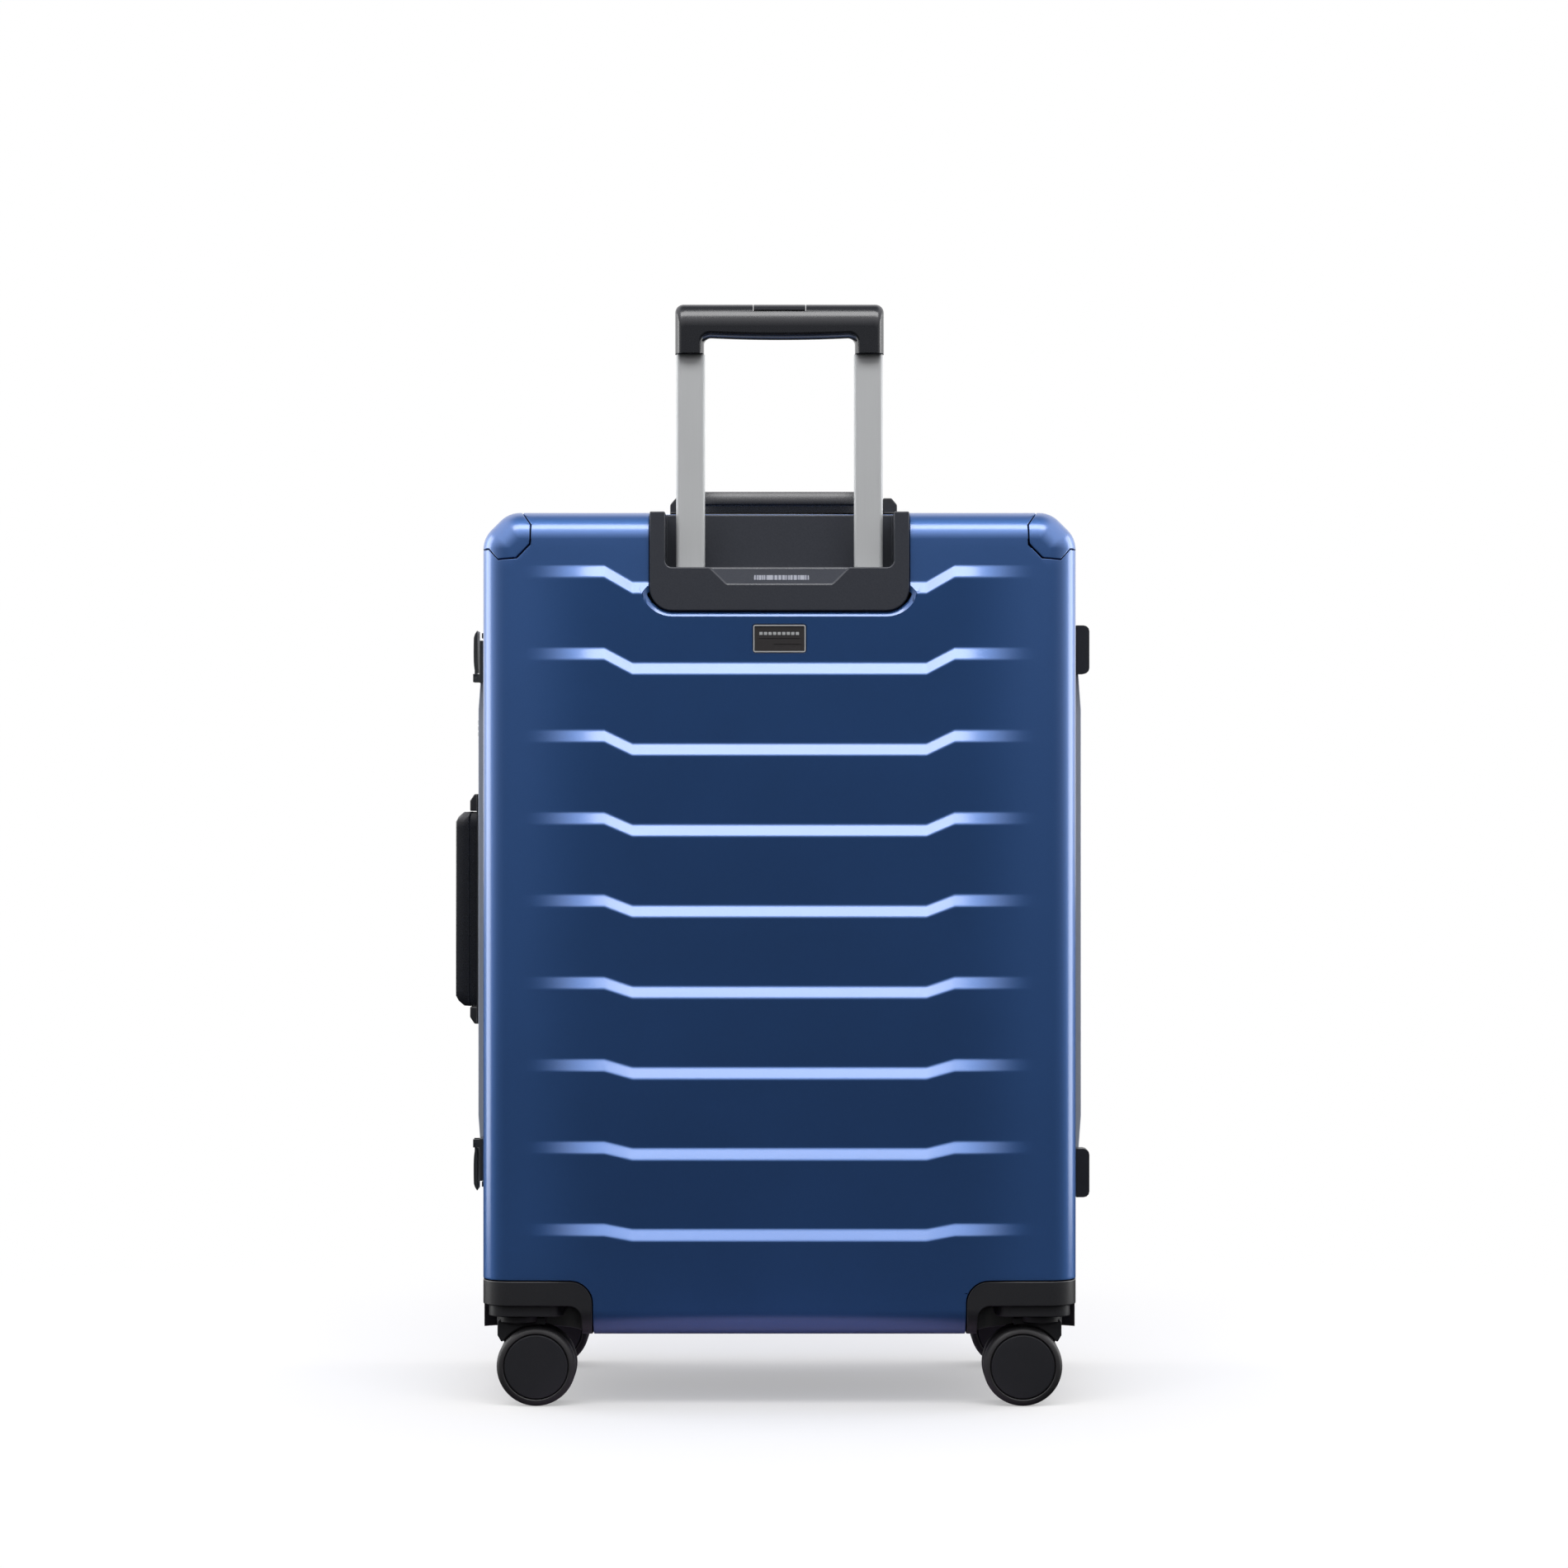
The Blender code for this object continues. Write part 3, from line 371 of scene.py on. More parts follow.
weave = shaderGroup("plainWeave", [("Vector", vectorKind, None), ("Threads", scalar, 1200.0)],
                    [("Height", scalar), ("Over", scalar)], wireWeave)


def shaderOf(name):
    made = bpy.data.materials.new(name)
    made.use_nodes = True
    tree = made.node_tree
    shader = tree.nodes["Principled BSDF"]
    coords = tree.nodes.new("ShaderNodeTexCoord").outputs["Object"]
    return made, tree, shader, coords


def use(tree, group, **values):
    node = tree.nodes.new("ShaderNodeGroup")
    node.node_tree = group
    for label, value in values.items():
        feed(tree, node.inputs[label], value)
    return node.outputs


def bumped(tree, shader, height, strength, distance):
    node = tree.nodes.new("ShaderNodeBump")
    node.inputs["Strength"].default_value = strength
    node.inputs["Distance"].default_value = distance
    tree.links.new(height, node.inputs["Height"])
    tree.links.new(node.outputs[0], shader.inputs["Normal"])


# satin metallic lacquer: flakes, a slow drift of tone, smears in the gloss
def lacquer(name, colour, dark, roughness, metallic, coat, coatRoughness, flakeScale=2600.0):
    made, tree, shader, coords = shaderOf(name)
    flake = use(tree, flakes, Vector=coords, Scale=flakeScale)
    mark = use(tree, handling, Vector=coords, Scale=7.0)
    tone = calc(tree, "MULTIPLY_ADD", flake["Sparkle"], 0.35, calc(tree, "MULTIPLY", flake["Cloud"], 0.65))
    tree.links.new(mixed(tree, tone, (*dark, 1), (*colour, 1)), shader.inputs["Base Color"])
    gloss = calc(tree, "MULTIPLY_ADD", mark["Smear"], 0.035, roughness)
    gloss = calc(tree, "MULTIPLY_ADD", flake["Sparkle"], 0.05, gloss)
    tree.links.new(gloss, shader.inputs["Roughness"])
    shader.inputs["Metallic"].default_value = metallic
    shader.inputs["Coat Weight"].default_value = coat
    shader.inputs["Coat Roughness"].default_value = coatRoughness
    shader.inputs["Coat IOR"].default_value = 2.0
    height = calc(tree, "MULTIPLY_ADD", flake["Sparkle"], 0.25, flake["Peel"])
    bumped(tree, shader, height, 0.10, 0.00012)
    return made


# moulded plastic or rubber: grain, worn shine, dust in the pits
def moulded(name, colour, light, roughness, grainScale, grainDepth, smearScale=12.0):
    made, tree, shader, coords = shaderOf(name)
    skin = use(tree, grain, Vector=coords, Scale=grainScale)
    mark = use(tree, handling, Vector=coords, Scale=smearScale)
    tone = calc(tree, "MULTIPLY_ADD", skin["Pits"], 0.5, calc(tree, "MULTIPLY", mark["Smear"], 0.35))
    tree.links.new(mixed(tree, tone, (*colour, 1), (*light, 1)), shader.inputs["Base Color"])
    shader.inputs["IOR"].default_value = 1.72
    gloss = calc(tree, "MULTIPLY_ADD", mark["Smear"], -0.07, roughness)
    gloss = calc(tree, "MULTIPLY_ADD", mark["Scratch"], 0.12, gloss)
    tree.links.new(gloss, shader.inputs["Roughness"])
    bumped(tree, shader, skin["Height"], 0.35, grainDepth)
    return made


# anodised or brushed metal with fine lines along its length
def anodised(name, colour, dark, roughness, brushScale, depth=0.00002, metallic=1.0):
    made, tree, shader, coords = shaderOf(name)
    lines = noise(tree, stretched(tree, coords, brushScale), 1.0, 3.0, 0.7)
    mark = use(tree, handling, Vector=coords, Scale=16.0)
    fleck = cells(tree, coords, 3000.0).outputs["Distance"]
    tone = calc(tree, "MULTIPLY_ADD", lines, 0.6, calc(tree, "MULTIPLY", fleck, 0.4), clamp=True)
    tree.links.new(mixed(tree, tone, (*dark, 1), (*colour, 1)), shader.inputs["Base Color"])
    gloss = calc(tree, "MULTIPLY_ADD", lines, 0.12, roughness)
    gloss = calc(tree, "MULTIPLY_ADD", mark["Smear"], 0.05, gloss)
    tree.links.new(gloss, shader.inputs["Roughness"])
    shader.inputs["Metallic"].default_value = metallic
    bumped(tree, shader, lines, 0.2, depth)
    return made


blueLacquer = lacquer("blueLacquer", (0.068, 0.205, 0.560), (0.052, 0.165, 0.470), 0.49, 0.92, 1.00, 0.22)
blueBelt = lacquer("blueBelt", (0.500, 0.550, 0.640), (0.440, 0.490, 0.580), 0.32, 0.20, 0.20, 0.25, 3200.0)
silverFrame = anodised("silverFrame", (0.60, 0.60, 0.62), (0.50, 0.50, 0.52), 0.28, (900.0, 900.0, 40.0),
                       0.00001, 0.5)
tubeMetal = anodised("tubeMetal", (0.80, 0.82, 0.82), (0.72, 0.74, 0.74), 0.42, (1500.0, 1500.0, 25.0),
                     0.00001, 0.3)
blackPlastic = moulded("blackPlastic", (0.016, 0.017, 0.020), (0.026, 0.027, 0.030), 0.42, 1100.0, 0.00006)
housingPlastic = moulded("housingPlastic", (0.042, 0.047, 0.060), (0.058, 0.064, 0.080), 0.34, 850.0, 0.00009)
gripPlastic = moulded("gripPlastic", (0.018, 0.020, 0.025), (0.027, 0.029, 0.034), 0.24, 1500.0, 0.00003)
wheelRubber = moulded("wheelRubber", (0.012, 0.012, 0.014), (0.024, 0.023, 0.024), 0.55, 1300.0, 0.00005, 30.0)
wheelCap = moulded("wheelCap", (0.016, 0.017, 0.021), (0.024, 0.025, 0.030), 0.40, 1700.0, 0.00003, 25.0)
gunmetal = anodised("gunmetal", (0.20, 0.205, 0.20), (0.13, 0.135, 0.13), 0.30, (600.0, 600.0, 600.0), 0.00001)
brightSteel = anodised("brightSteel", (0.62, 0.62, 0.61), (0.48, 0.48, 0.47), 0.20, (900.0, 60.0, 900.0), 0.00001)
sealRubber = moulded("sealRubber", (0.012, 0.012, 0.012), (0.020, 0.020, 0.020), 0.70, 1500.0, 0.00004)
plateMetal = anodised("plateMetal", (0.085, 0.080, 0.080), (0.060, 0.056, 0.056), 0.34, (1200.0, 900.0, 30.0),
                      0.00001, 0.2)
print("materials ready")


# the top handle's posts pass through the rear shell
topHandle = {
    "x": 0.0030, "y": -0.0500, "seat": 0.6546, "half": 0.0845, "cap": 0.0105, "capTop": 0.6678,
    "low": 0.6567, "high": 0.6733, "post": 0.0660,
}

# case halves: flat face, rolled rim, nine steps
caseForm = {
    "halfWidth": 0.2160, "low": 0.0525, "high": 0.6535, "face": 0.1305, "roll": 0.0200, "chamfer": 0.0185,
    "mouthGrowX": 0.0062, "mouthGrowZ": 0.0013, "wall": 0.0025, "rearMouth": 0.0166, "frontMouth": 0.0268,
    "rimSteps": 12, "fanSteps": 6, "seam": 0.0007, "seamEdge": 0.0005,
}
stepValues = {
    "Middle Top": 0.6021, "Middle Pitch": 0.0589, "Outer Top": 0.6140, "Outer Pitch": 0.0599, "Band": 0.0084,
    "Depth": 0.0045, "Kink Start": 0.1070, "Kink End": 0.1275, "Fade Start": 0.1300, "Fade End": 0.1880,
    "Edge Softness": 0.10, "Face": 0.1305, "Flat Low": 0.0725, "Flat High": 0.6335,
}
stepCount = 9


# a geometry tree with named inputs: its geometry, a number for each value, vectors and the finish
def geometryTree(name, values, *vectors):
    tree = bpy.data.node_groups.new(name, "GeometryNodeTree")
    wanted = [("Geometry", "Geometry")] + [(label, "Float") for label in values]
    wanted += [(label, "Vector") for label in vectors] + [("Finish", "Material")]
    for label, kind in wanted:
        socket = tree.interface.new_socket(label, in_out="INPUT", socket_type="NodeSocket" + kind)
        if label in values:
            socket.default_value = values[label]
    tree.interface.new_socket("Geometry", in_out="OUTPUT", socket_type="NodeSocketGeometry")
    return tree, tree.nodes.new("NodeGroupInput").outputs


# lays the steps into a flat face: each row rises over its band and falls back towards the next
def stepTree():
    tree, got = geometryTree("stepped face", stepValues)
    place = tree.nodes.new("ShaderNodeSeparateXYZ")
    tree.links.new(tree.nodes.new("GeometryNodeInputPosition").outputs[0], place.inputs[0])
    x, y, z = place.outputs
    away = calc(tree, "ABSOLUTE", x)
    row = calc(tree, "DIVIDE", calc(tree, "SUBTRACT", got["Middle Top"], z), got["Middle Pitch"])
    outerZ = calc(tree, "SUBTRACT", got["Outer Top"], calc(tree, "MULTIPLY", row, got["Outer Pitch"]))
    kink = ranged(tree, away, got["Kink Start"], got["Kink End"])
    kink = calc(tree, "MULTIPLY", kink, ranged(tree, away, got["Fade End"], 0.196, 1.0, 0.0))
    kink = calc(tree, "MULTIPLY", kink, ranged(tree, z, got["Middle Top"], got["Flat High"], 1.0, 0.0))
    kink = calc(tree, "MULTIPLY", kink, ranged(tree, z, got["Flat Low"], 0.11))
    part = calc(tree, "SUBTRACT", calc(tree, "FLOORED_MODULO", calc(tree, "ADD", row, 0.5), 1.0), 0.5)
    band = calc(tree, "DIVIDE", got["Band"], got["Middle Pitch"])
    rest = calc(tree, "SUBTRACT", 1.0, band)
    fall = calc(tree, "MULTIPLY", calc(tree, "DIVIDE", part, rest), -1.0)
    fall = calc(tree, "MULTIPLY", fall, calc(tree, "GREATER_THAN", row, 0.45))
    rise = calc(tree, "DIVIDE", part, band)
    back = calc(tree, "DIVIDE", calc(tree, "SUBTRACT", 1.0, part), rest)
    crest = calc(tree, "SMOOTH_MIN", rise, back, got["Edge Softness"])
    height = calc(tree, "SMOOTH_MAX", fall, crest, got["Edge Softness"])
    height = calc(tree, "MAXIMUM", height, 0.0)
    height = calc(tree, "MULTIPLY", height, calc(tree, "GREATER_THAN", row, -0.4))
    height = calc(tree, "MULTIPLY", height, ranged(tree, away, got["Fade Start"], got["Fade End"], 1.0, 0.0, True))
    height = calc(tree, "MULTIPLY", height, ranged(tree, away, got["Kink Start"], 0.150, 1.0, 0.86))
    onFace = calc(tree, "GREATER_THAN", calc(tree, "ABSOLUTE", y), calc(tree, "SUBTRACT", got["Face"], 0.00001))
    height = calc(tree, "MULTIPLY", calc(tree, "MULTIPLY", height, onFace), got["Depth"])
    shift = calc(tree, "MULTIPLY", calc(tree, "SUBTRACT", outerZ, z), calc(tree, "MULTIPLY", kink, onFace))
    offset = tree.nodes.new("ShaderNodeCombineXYZ")
    tree.links.new(calc(tree, "MULTIPLY", height, calc(tree, "SIGN", y)), offset.inputs["Y"])
    tree.links.new(shift, offset.inputs["Z"])
    move = tree.nodes.new("GeometryNodeSetPosition")
    tree.links.new(got["Geometry"], move.inputs["Geometry"])
    tree.links.new(offset.outputs[0], move.inputs["Offset"])
    finishTree(tree, move.outputs[0], got["Finish"])
    return tree


def finishTree(tree, geometry, finish):
    real = tree.nodes.new("GeometryNodeRealizeInstances")
    paint = tree.nodes.new("GeometryNodeSetMaterial")
    tree.links.new(geometry, real.inputs[0])
    tree.links.new(real.outputs[0], paint.inputs["Geometry"])
    tree.links.new(finish, paint.inputs["Material"])
    tree.links.new(paint.outputs[0], tree.nodes.new("NodeGroupOutput").inputs[0])


# runs a tree on an object with its inputs set by their sockets' identifiers, and keeps the result
def runTree(obj, tree, values):
    made = obj.modifiers.new("nodes", "NODES")
    made.node_group = tree
    for item in tree.interface.items_tree:
        if item.in_out == "INPUT" and item.name in values:
            made[item.identifier] = values[item.name]
    obj.data = baked(obj)
    obj.modifiers.clear()
    return obj


# where the flat face is cut into columns and rows: close together at kinks and band edges
def faceCuts():
    columns = [0.0, 0.035, 0.070, 0.095, 0.103, 0.105, 0.107, 0.109, 0.111, 0.1172, 0.1235, 0.1255, 0.1275]
    columns += [0.1295, 0.1315, 0.134, 0.137] + [0.141 + 0.004 * i for i in range(12)] + [0.191]
    columns = sorted({round(s * x, 5) for x in columns for s in (-1, 1)})
    inRow = (-0.0016, -0.0008, 0.0, 0.0008, 0.0016, 0.0042, 0.0068, 0.0076)
    inRow += (0.0084, 0.0092, 0.0100, 0.0140, 0.024, 0.036, 0.048)
    top, pitch = stepValues["Middle Top"], stepValues["Middle Pitch"]
    rows = [top - k * pitch - d for k in range(stepCount) for d in inRow]
    return columns, rows + [0.612, 0.622]


def halfForm(side, mouth, squareFoot=False, cuts=True, closed=False):
    f = caseForm
    roll, depth = f["roll"], f["face"] - mouth
    w, low, high = f["halfWidth"] - roll, f["low"] + roll, f["high"] - roll
    slant = f["chamfer"] - roll * (2 - math.sqrt(2))
    corners = [(-w, low), (w, low), (w, high - slant), (w - slant, high), (slant - w, high), (-w, high - slant)]
    bm = bmesh.new()
    bm.faces.new([bm.verts.new((x, 0, z)) for x, z in corners])
    if cuts:
        columns, rows = faceCuts()
        planes = [((x, 0, 0), (1, 0, 0)) for x in columns] + [((0, 0, z), (0, 0, 1)) for z in rows]
        for point, normal in planes:
            everything = bm.verts[:] + bm.edges[:] + bm.faces[:]
            bmesh.ops.bisect_plane(bm, geom=everything, dist=1e-6, plane_co=point, plane_no=normal)
    border = {v for e in bm.edges if e.is_boundary for v in e.verts}
    normals, stations = [], []
    for a, b in zip(corners, corners[1:] + corners[:1]):
        along = Vector((b[0] - a[0], b[1] - a[1])).normalized()
        normals.append(Vector((along.y, -along.x)))
    for i, (a, b) in enumerate(zip(corners, corners[1:] + corners[:1])):
        start, along = Vector(a), Vector((b[0] - a[0], b[1] - a[1]))
        length = along.length
        along.normalize()
        onSide = []
        for v in border:
            rel = Vector((v.co.x, v.co.z)) - start
            if abs(rel.dot(normals[i])) < 1e-5 and -1e-5 < rel.dot(along) < length + 1e-5:
                onSide.append((rel.dot(along), v))
        onSide.sort(key=lambda item: item[0])
        stations += [(v, normals[i]) for _, v in onSide]
        turn = normals[(i + 1) % len(normals)]
        if squareFoot and i in (0, 5):
            stations[-1] = (onSide[-1][1], normals[i] + turn)
            continue
        for k in range(1, f["fanSteps"]):
            stations.append((onSide[-1][1], normals[i].lerp(turn, k / f["fanSteps"]).normalized()))
    if squareFoot:  # the next side's first station repeats the mitred corner
        kept = []
        for v, d in stations:
            if kept and kept[-1][0] is v and kept[-1][1].length > 1.2:
                continue
            kept.append((v, d))
        if kept[0][0] is kept[-1][0] and kept[-1][1].length > 1.2:
            kept.pop(0)
        stations = kept
    rings = [(roll * math.sin(a), roll * (1 - math.cos(a)))
             for a in (math.pi / 2 * j / f["rimSteps"] for j in range(1, f["rimSteps"] + 1))]
    rings += [(roll, roll + (depth - roll) * t) for t in (0.25, 0.5, 0.75, 1.0)]
    previous = [v for v, _ in stations]
    for out, back in rings:
        current = []
        for v, d in stations:
            current.append(bm.verts.new((v.co.x + out * d.x, back, v.co.z + out * d.y)))
        count = len(stations)
        for i in range(count):
            k = (i + 1) % count
            ends = list(dict.fromkeys((previous[i], previous[k], current[k], current[i])))
            bm.faces.new(ends)
        previous = current
    if closed:
        bm.faces.new(previous)
    middle = (f["low"] + f["high"]) / 2
    for v in bm.verts:
        t = v.co.y / depth
        v.co.x *= 1 + f["mouthGrowX"] / f["halfWidth"] * t
        v.co.z = middle + (v.co.z - middle) * (1 + f["mouthGrowZ"] / (f["high"] - middle) * t)
        v.co.y = side * (f["face"] - v.co.y)
    bmesh.ops.recalc_face_normals(bm, faces=bm.faces)
    outward = sum((face.normal.y * side for face in bm.faces if abs(face.normal.y) > 0.99), 0.0)
    if outward < 0 and not closed:
        bmesh.ops.reverse_faces(bm, faces=bm.faces)
    return bm


def walled(obj, thickness):
    made = obj.modifiers.new("wall", "SOLIDIFY")
    made.thickness = thickness
    made.offset = -1
    made.use_even_offset = True
    return obj


def guardOutline(grow, right):
    points = [(0.1880 - grow, 0.6700), (0.1880 - grow, 0.6530), (0.1815 - grow, 0.6440),
              (0.1820 - grow, 0.6300 - grow), (0.1917 - grow, 0.6200 - grow), (0.2050, 0.6188 - grow),
              (0.2120, 0.6266 - grow), (0.2350, 0.6266 - grow), (0.2350, 0.6700)]
    return points if right else flipped(points)


def footOutline(grow, right):
    points = roundedOutline((0.1365 - grow, 0.0300), (0.2400, 0.0926 + grow), (0, 0, 0, 0.0160 + grow))
    return points if right else flipped(points)


def span(side, near, far=0.1600):
    return sorted((side * near, side * far))


# the openings in each shell are flared at the face, which gives them their rounded edge
housingValues = {
    "halfWidth": 0.0944, "low": 0.5810, "corner": 0.0165, "seam": 0.0006, "flare": 0.0030, "front": 0.1346,
    "back": 0.0912, "recessHalf": 0.0833, "floor": 0.6128, "recessBack": 0.0945, "recessCorner": 0.0050,
    "scoopHalf": 0.0370, "scoopFoot": 0.5990, "edge": 0.0010,
}
plateValues = {"halfWidth": 0.0192, "halfHeight": 0.0101, "z": 0.5609, "corner": 0.0016, "seam": 0.0005}


def housingOutline(grow, top, steps=10):
    h = housingValues
    r = h["corner"] + grow
    wide = h["halfWidth"] + grow
    return roundedOutline((-wide, h["low"] - grow), (wide, top), (r, r, 0, 0), steps)


def housingCutter():
    h = housingValues
    depths = ((0.0, -0.0880), (0.0, -0.1317), (0.3, -0.1320), (1.1, -0.1334), (1.7, -0.1345), (1.7, -0.1600))
    rings = []
    for share, y in depths:
        rings.append([(x, y, z) for x, z in housingOutline(h["seam"] + share * h["flare"], 0.7000)])
    return lofted("housingCutter", rings)


# the nameplate's place: on the slope under the bezel
def plateFrame():
    slope = math.atan2(stepValues["Depth"], stepValues["Middle Pitch"] - stepValues["Band"])
    top = stepValues["Middle Top"] - stepValues["Band"]
    share = (top - plateValues["z"]) / (stepValues["Middle Pitch"] - stepValues["Band"])
    y = -stepValues["Face"] - stepValues["Depth"] * (1 - share)
    return Matrix.Translation((0, y, plateValues["z"])) @ Matrix.Rotation(slope, 4, "X")


def plateOutline(grow):
    p = plateValues
    r = p["corner"] + grow
    return roundedOutline((-p["halfWidth"] - grow, -p["halfHeight"] - grow),
                          (p["halfWidth"] + grow, p["halfHeight"] + grow), (r, r, r, r), 4)


def caseShell(half):
    side = halves[half]
    mouth = caseForm[half + "Mouth"]
    shell = fromBmesh(half + "Shell", halfForm(side, mouth), False)
    runTree(shell, steps, {"Finish": blueLacquer, **stepValues})
    walled(shell, caseForm["wall"])
    shell.data = baked(shell)
    shell.modifiers.clear()
    for label, sign in sides.items():
        right = sign > 0
        gap = caseForm["seam"]
        cut(shell, prism("guardGap", guardOutline(gap, right), "y", *span(side, 0.0980 - gap)))
        cut(shell, prism("footGap", footOutline(gap, right), "y", *span(side, 0.0545 - gap)))
    if half == "rear":
        cut(shell, housingCutter())
        pocket = prism("platePocket", plateOutline(plateValues["seam"]), "y", -0.0100, 0.0013)
        pocket.data.transform(plateFrame())
        cut(shell, pocket)
        for sign in (-1, 1):
            x = topHandle["x"] + sign * topHandle["post"]
            cut(shell, block("postHole", (x - 0.0054, -0.0544, 0.6000), (x + 0.0054, -0.0456, 0.6600)))
    weld(shell)
    soften(shell, caseForm["seamEdge"], 2, 55, False)
    settle(shell, 32)
    clearTools()
    return show(shell, blueLacquer, half + "_half", "shell", half + "_shell")


def cornerGuard(half, label):
    side, right = halves[half], sides[label] > 0
    guard = fromBmesh(f"cornerGuard_{half}_{label}", halfForm(side, caseForm[half + "Mouth"], cuts=False), False)
    walled(guard, caseForm["wall"])
    cut(guard, prism("guardRegion", guardOutline(-0.0001, right), "y", *span(side, 0.0981)), "INTERSECT")
    weld(guard)
    soften(guard, 0.0007, 3, 55, False)
    settle(guard, 32)
    clearTools()
    return show(guard, blueLacquer, half + "_half", "shell", f"corner_guard_{half}_{label}")


footValues = {
    "swivelX": 0.1910, "swivelY": 0.1030, "wellRadius": 0.0465, "tier": 0.0746, "fillet": 0.0090,
    "plateLow": 0.0664, "plateInset": 0.0035, "edge": 0.0008,
}


# the cap over a bottom corner: a round well for the caster, and the mounting plate in its ceiling
def wheelFoot(half, label):
    v = footValues
    side, sign = halves[half], sides[label]
    name = f"wheelFoot_{half}_{label}"
    body = fromBmesh(name, halfForm(side, caseForm[half + "Mouth"], True, False, True))
    cut(body, prism("footRegion", footOutline(0, sign > 0), "y", *span(side, 0.0545)), "INTERSECT")
    cx, cy, r = v["swivelX"], v["swivelY"], v["wellRadius"]
    plan = [(0.2800, 0.2000), (cx - r, 0.2000)]
    for i in range(25):
        a = math.pi + math.pi * 0.74 * i / 24
        plan.append((cx + r * math.cos(a), cy + r * math.sin(a)))
    plan.append((0.2800, plan[-1][1]))
    plan = [(sign * x, side * y) for x, y in plan]
    well = prism("well", plan, "z", 0.0100, v["tier"])
    soften(well, v["fillet"], 6, 60)
    cut(body, well)
    soften(body, v["edge"], 3, 40, False)
    weld(body)
    settle(body, 34)
    inset = v["plateInset"]
    xs = sorted((sign * (cx - 0.0330), sign * (0.2160 - inset)))
    ys = sorted((side * 0.0650, side * (0.1305 - inset)))
    outline = roundedOutline((xs[0], ys[0]), (xs[1], ys[1]), (0.0120,) * 4, 6)
    plate = prism(name + "_plate", outline, "z", v["plateLow"], v["tier"] + 0.0006)
    soften(plate, 0.0007, 3, 50)
    settle(plate, 34)
    clearTools()
    show(plate, blackPlastic, half + "_half", "black_plastic")
    return show(body, blackPlastic, half + "_half", "black_plastic", f"wheel_housing_{half}_{label}")


steps = stepTree()
for half in halves:
    caseShell(half)
    for label in sides:
        cornerGuard(half, label)
        wheelFoot(half, label)
print("case halves, corner guards and wheel housings built")


# frames, belt and seal
frameValues = {
    "halfWidth": 0.2240, "low": 0.0490, "high": 0.6575, "chamfer": 0.0197, "footRadius": 0.0180,
    "slantRadius": 0.0130, "rearLip": 0.0160, "frontLip": 0.0262, "rearFlange": 0.0320, "frontFlange": 0.0400,
    "face": 0.0006, "groove": 0.0004,
}
beltValues = {"halfWidth": 0.2290, "z": (0.1340, 0.2030, 0.5114, 0.5804), "foot": 0.2225, "back": 0.0252}


# rounds an outline's corners, each by its own radius
def filleted(corners, radii, steps=6):
    points = []
    count = len(corners)
    for i, (corner, radius) in enumerate(zip(corners, radii)):
        here = Vector(corner)
        before = (Vector(corners[i - 1]) - here).normalized()
        after = (Vector(corners[(i + 1) % count]) - here).normalized()
        half = before.angle(after) / 2
        centre = here + (before + after).normalized() * radius / math.sin(half)
        start = here + before * radius / math.tan(half) - centre
        end = here + after * radius / math.tan(half) - centre
        first = math.atan2(start.y, start.x)
        turn = (math.atan2(end.y, end.x) - first + math.pi) % (2 * math.pi) - math.pi
        for k in range(steps + 1):
            a = first + turn * k / steps
            points.append((centre.x + radius * math.cos(a), centre.y + radius * math.sin(a)))
    return points


def frameOutline(inset):
    f = frameValues
    w, low, high = f["halfWidth"] - inset, f["low"] + inset, f["high"] - inset
    slant = f["chamfer"] - 0.5858 * inset
    corners = [(w, low), (w, high - slant), (w - slant, high), (slant - w, high), (-w, high - slant), (-w, low)]
    foot, turn = f["footRadius"] - inset, f["slantRadius"] - inset
    return filleted(corners, (foot, turn, turn, turn, turn, foot))


def frameRing(name, profile, side=1):
    bm = bmesh.new()
    rings = [[bm.verts.new((x, side * y, z)) for x, z in frameOutline(inset)] for inset, y in profile]
    count = len(rings[0])
    for a, b in zip(rings, rings[1:] + rings[:1]):
        for i in range(count):
            k = (i + 1) % count
            bm.faces.new((a[i], a[k], b[k], b[i]))
    return fromBmesh(name, bm)


def frameProfile(lip, flange, meet):
    face, g = frameValues["face"], frameValues["groove"]
    outer = [(0.0010, face), (0.0003, face + 0.0003), (0.0, face + 0.0010)]
    for y in (lip * 0.36, lip * 0.66):
        outer += [(0.0, y - 0.0007), (g, y - 0.0004), (g, y + 0.0004), (0.0, y + 0.0007)]
    outer += [(0.0, lip - 0.0036), (0.0003, lip - 0.0022), (0.0010, lip - 0.0010)]
    outer += [(0.0022, lip - 0.0002), (0.0036, lip + 0.0002)]
    inner = [(0.0056, lip + 0.0002), (0.0060, lip + 0.0006), (0.0060, flange), (0.0074, flange)]
    inner += [(0.0074, lip - 0.0010), (0.0096, lip - 0.0010), (0.0100, lip - 0.0014)]
    inner += [(0.0100, face + 0.0004), (0.0096, face)]
    return outer + inner + meet


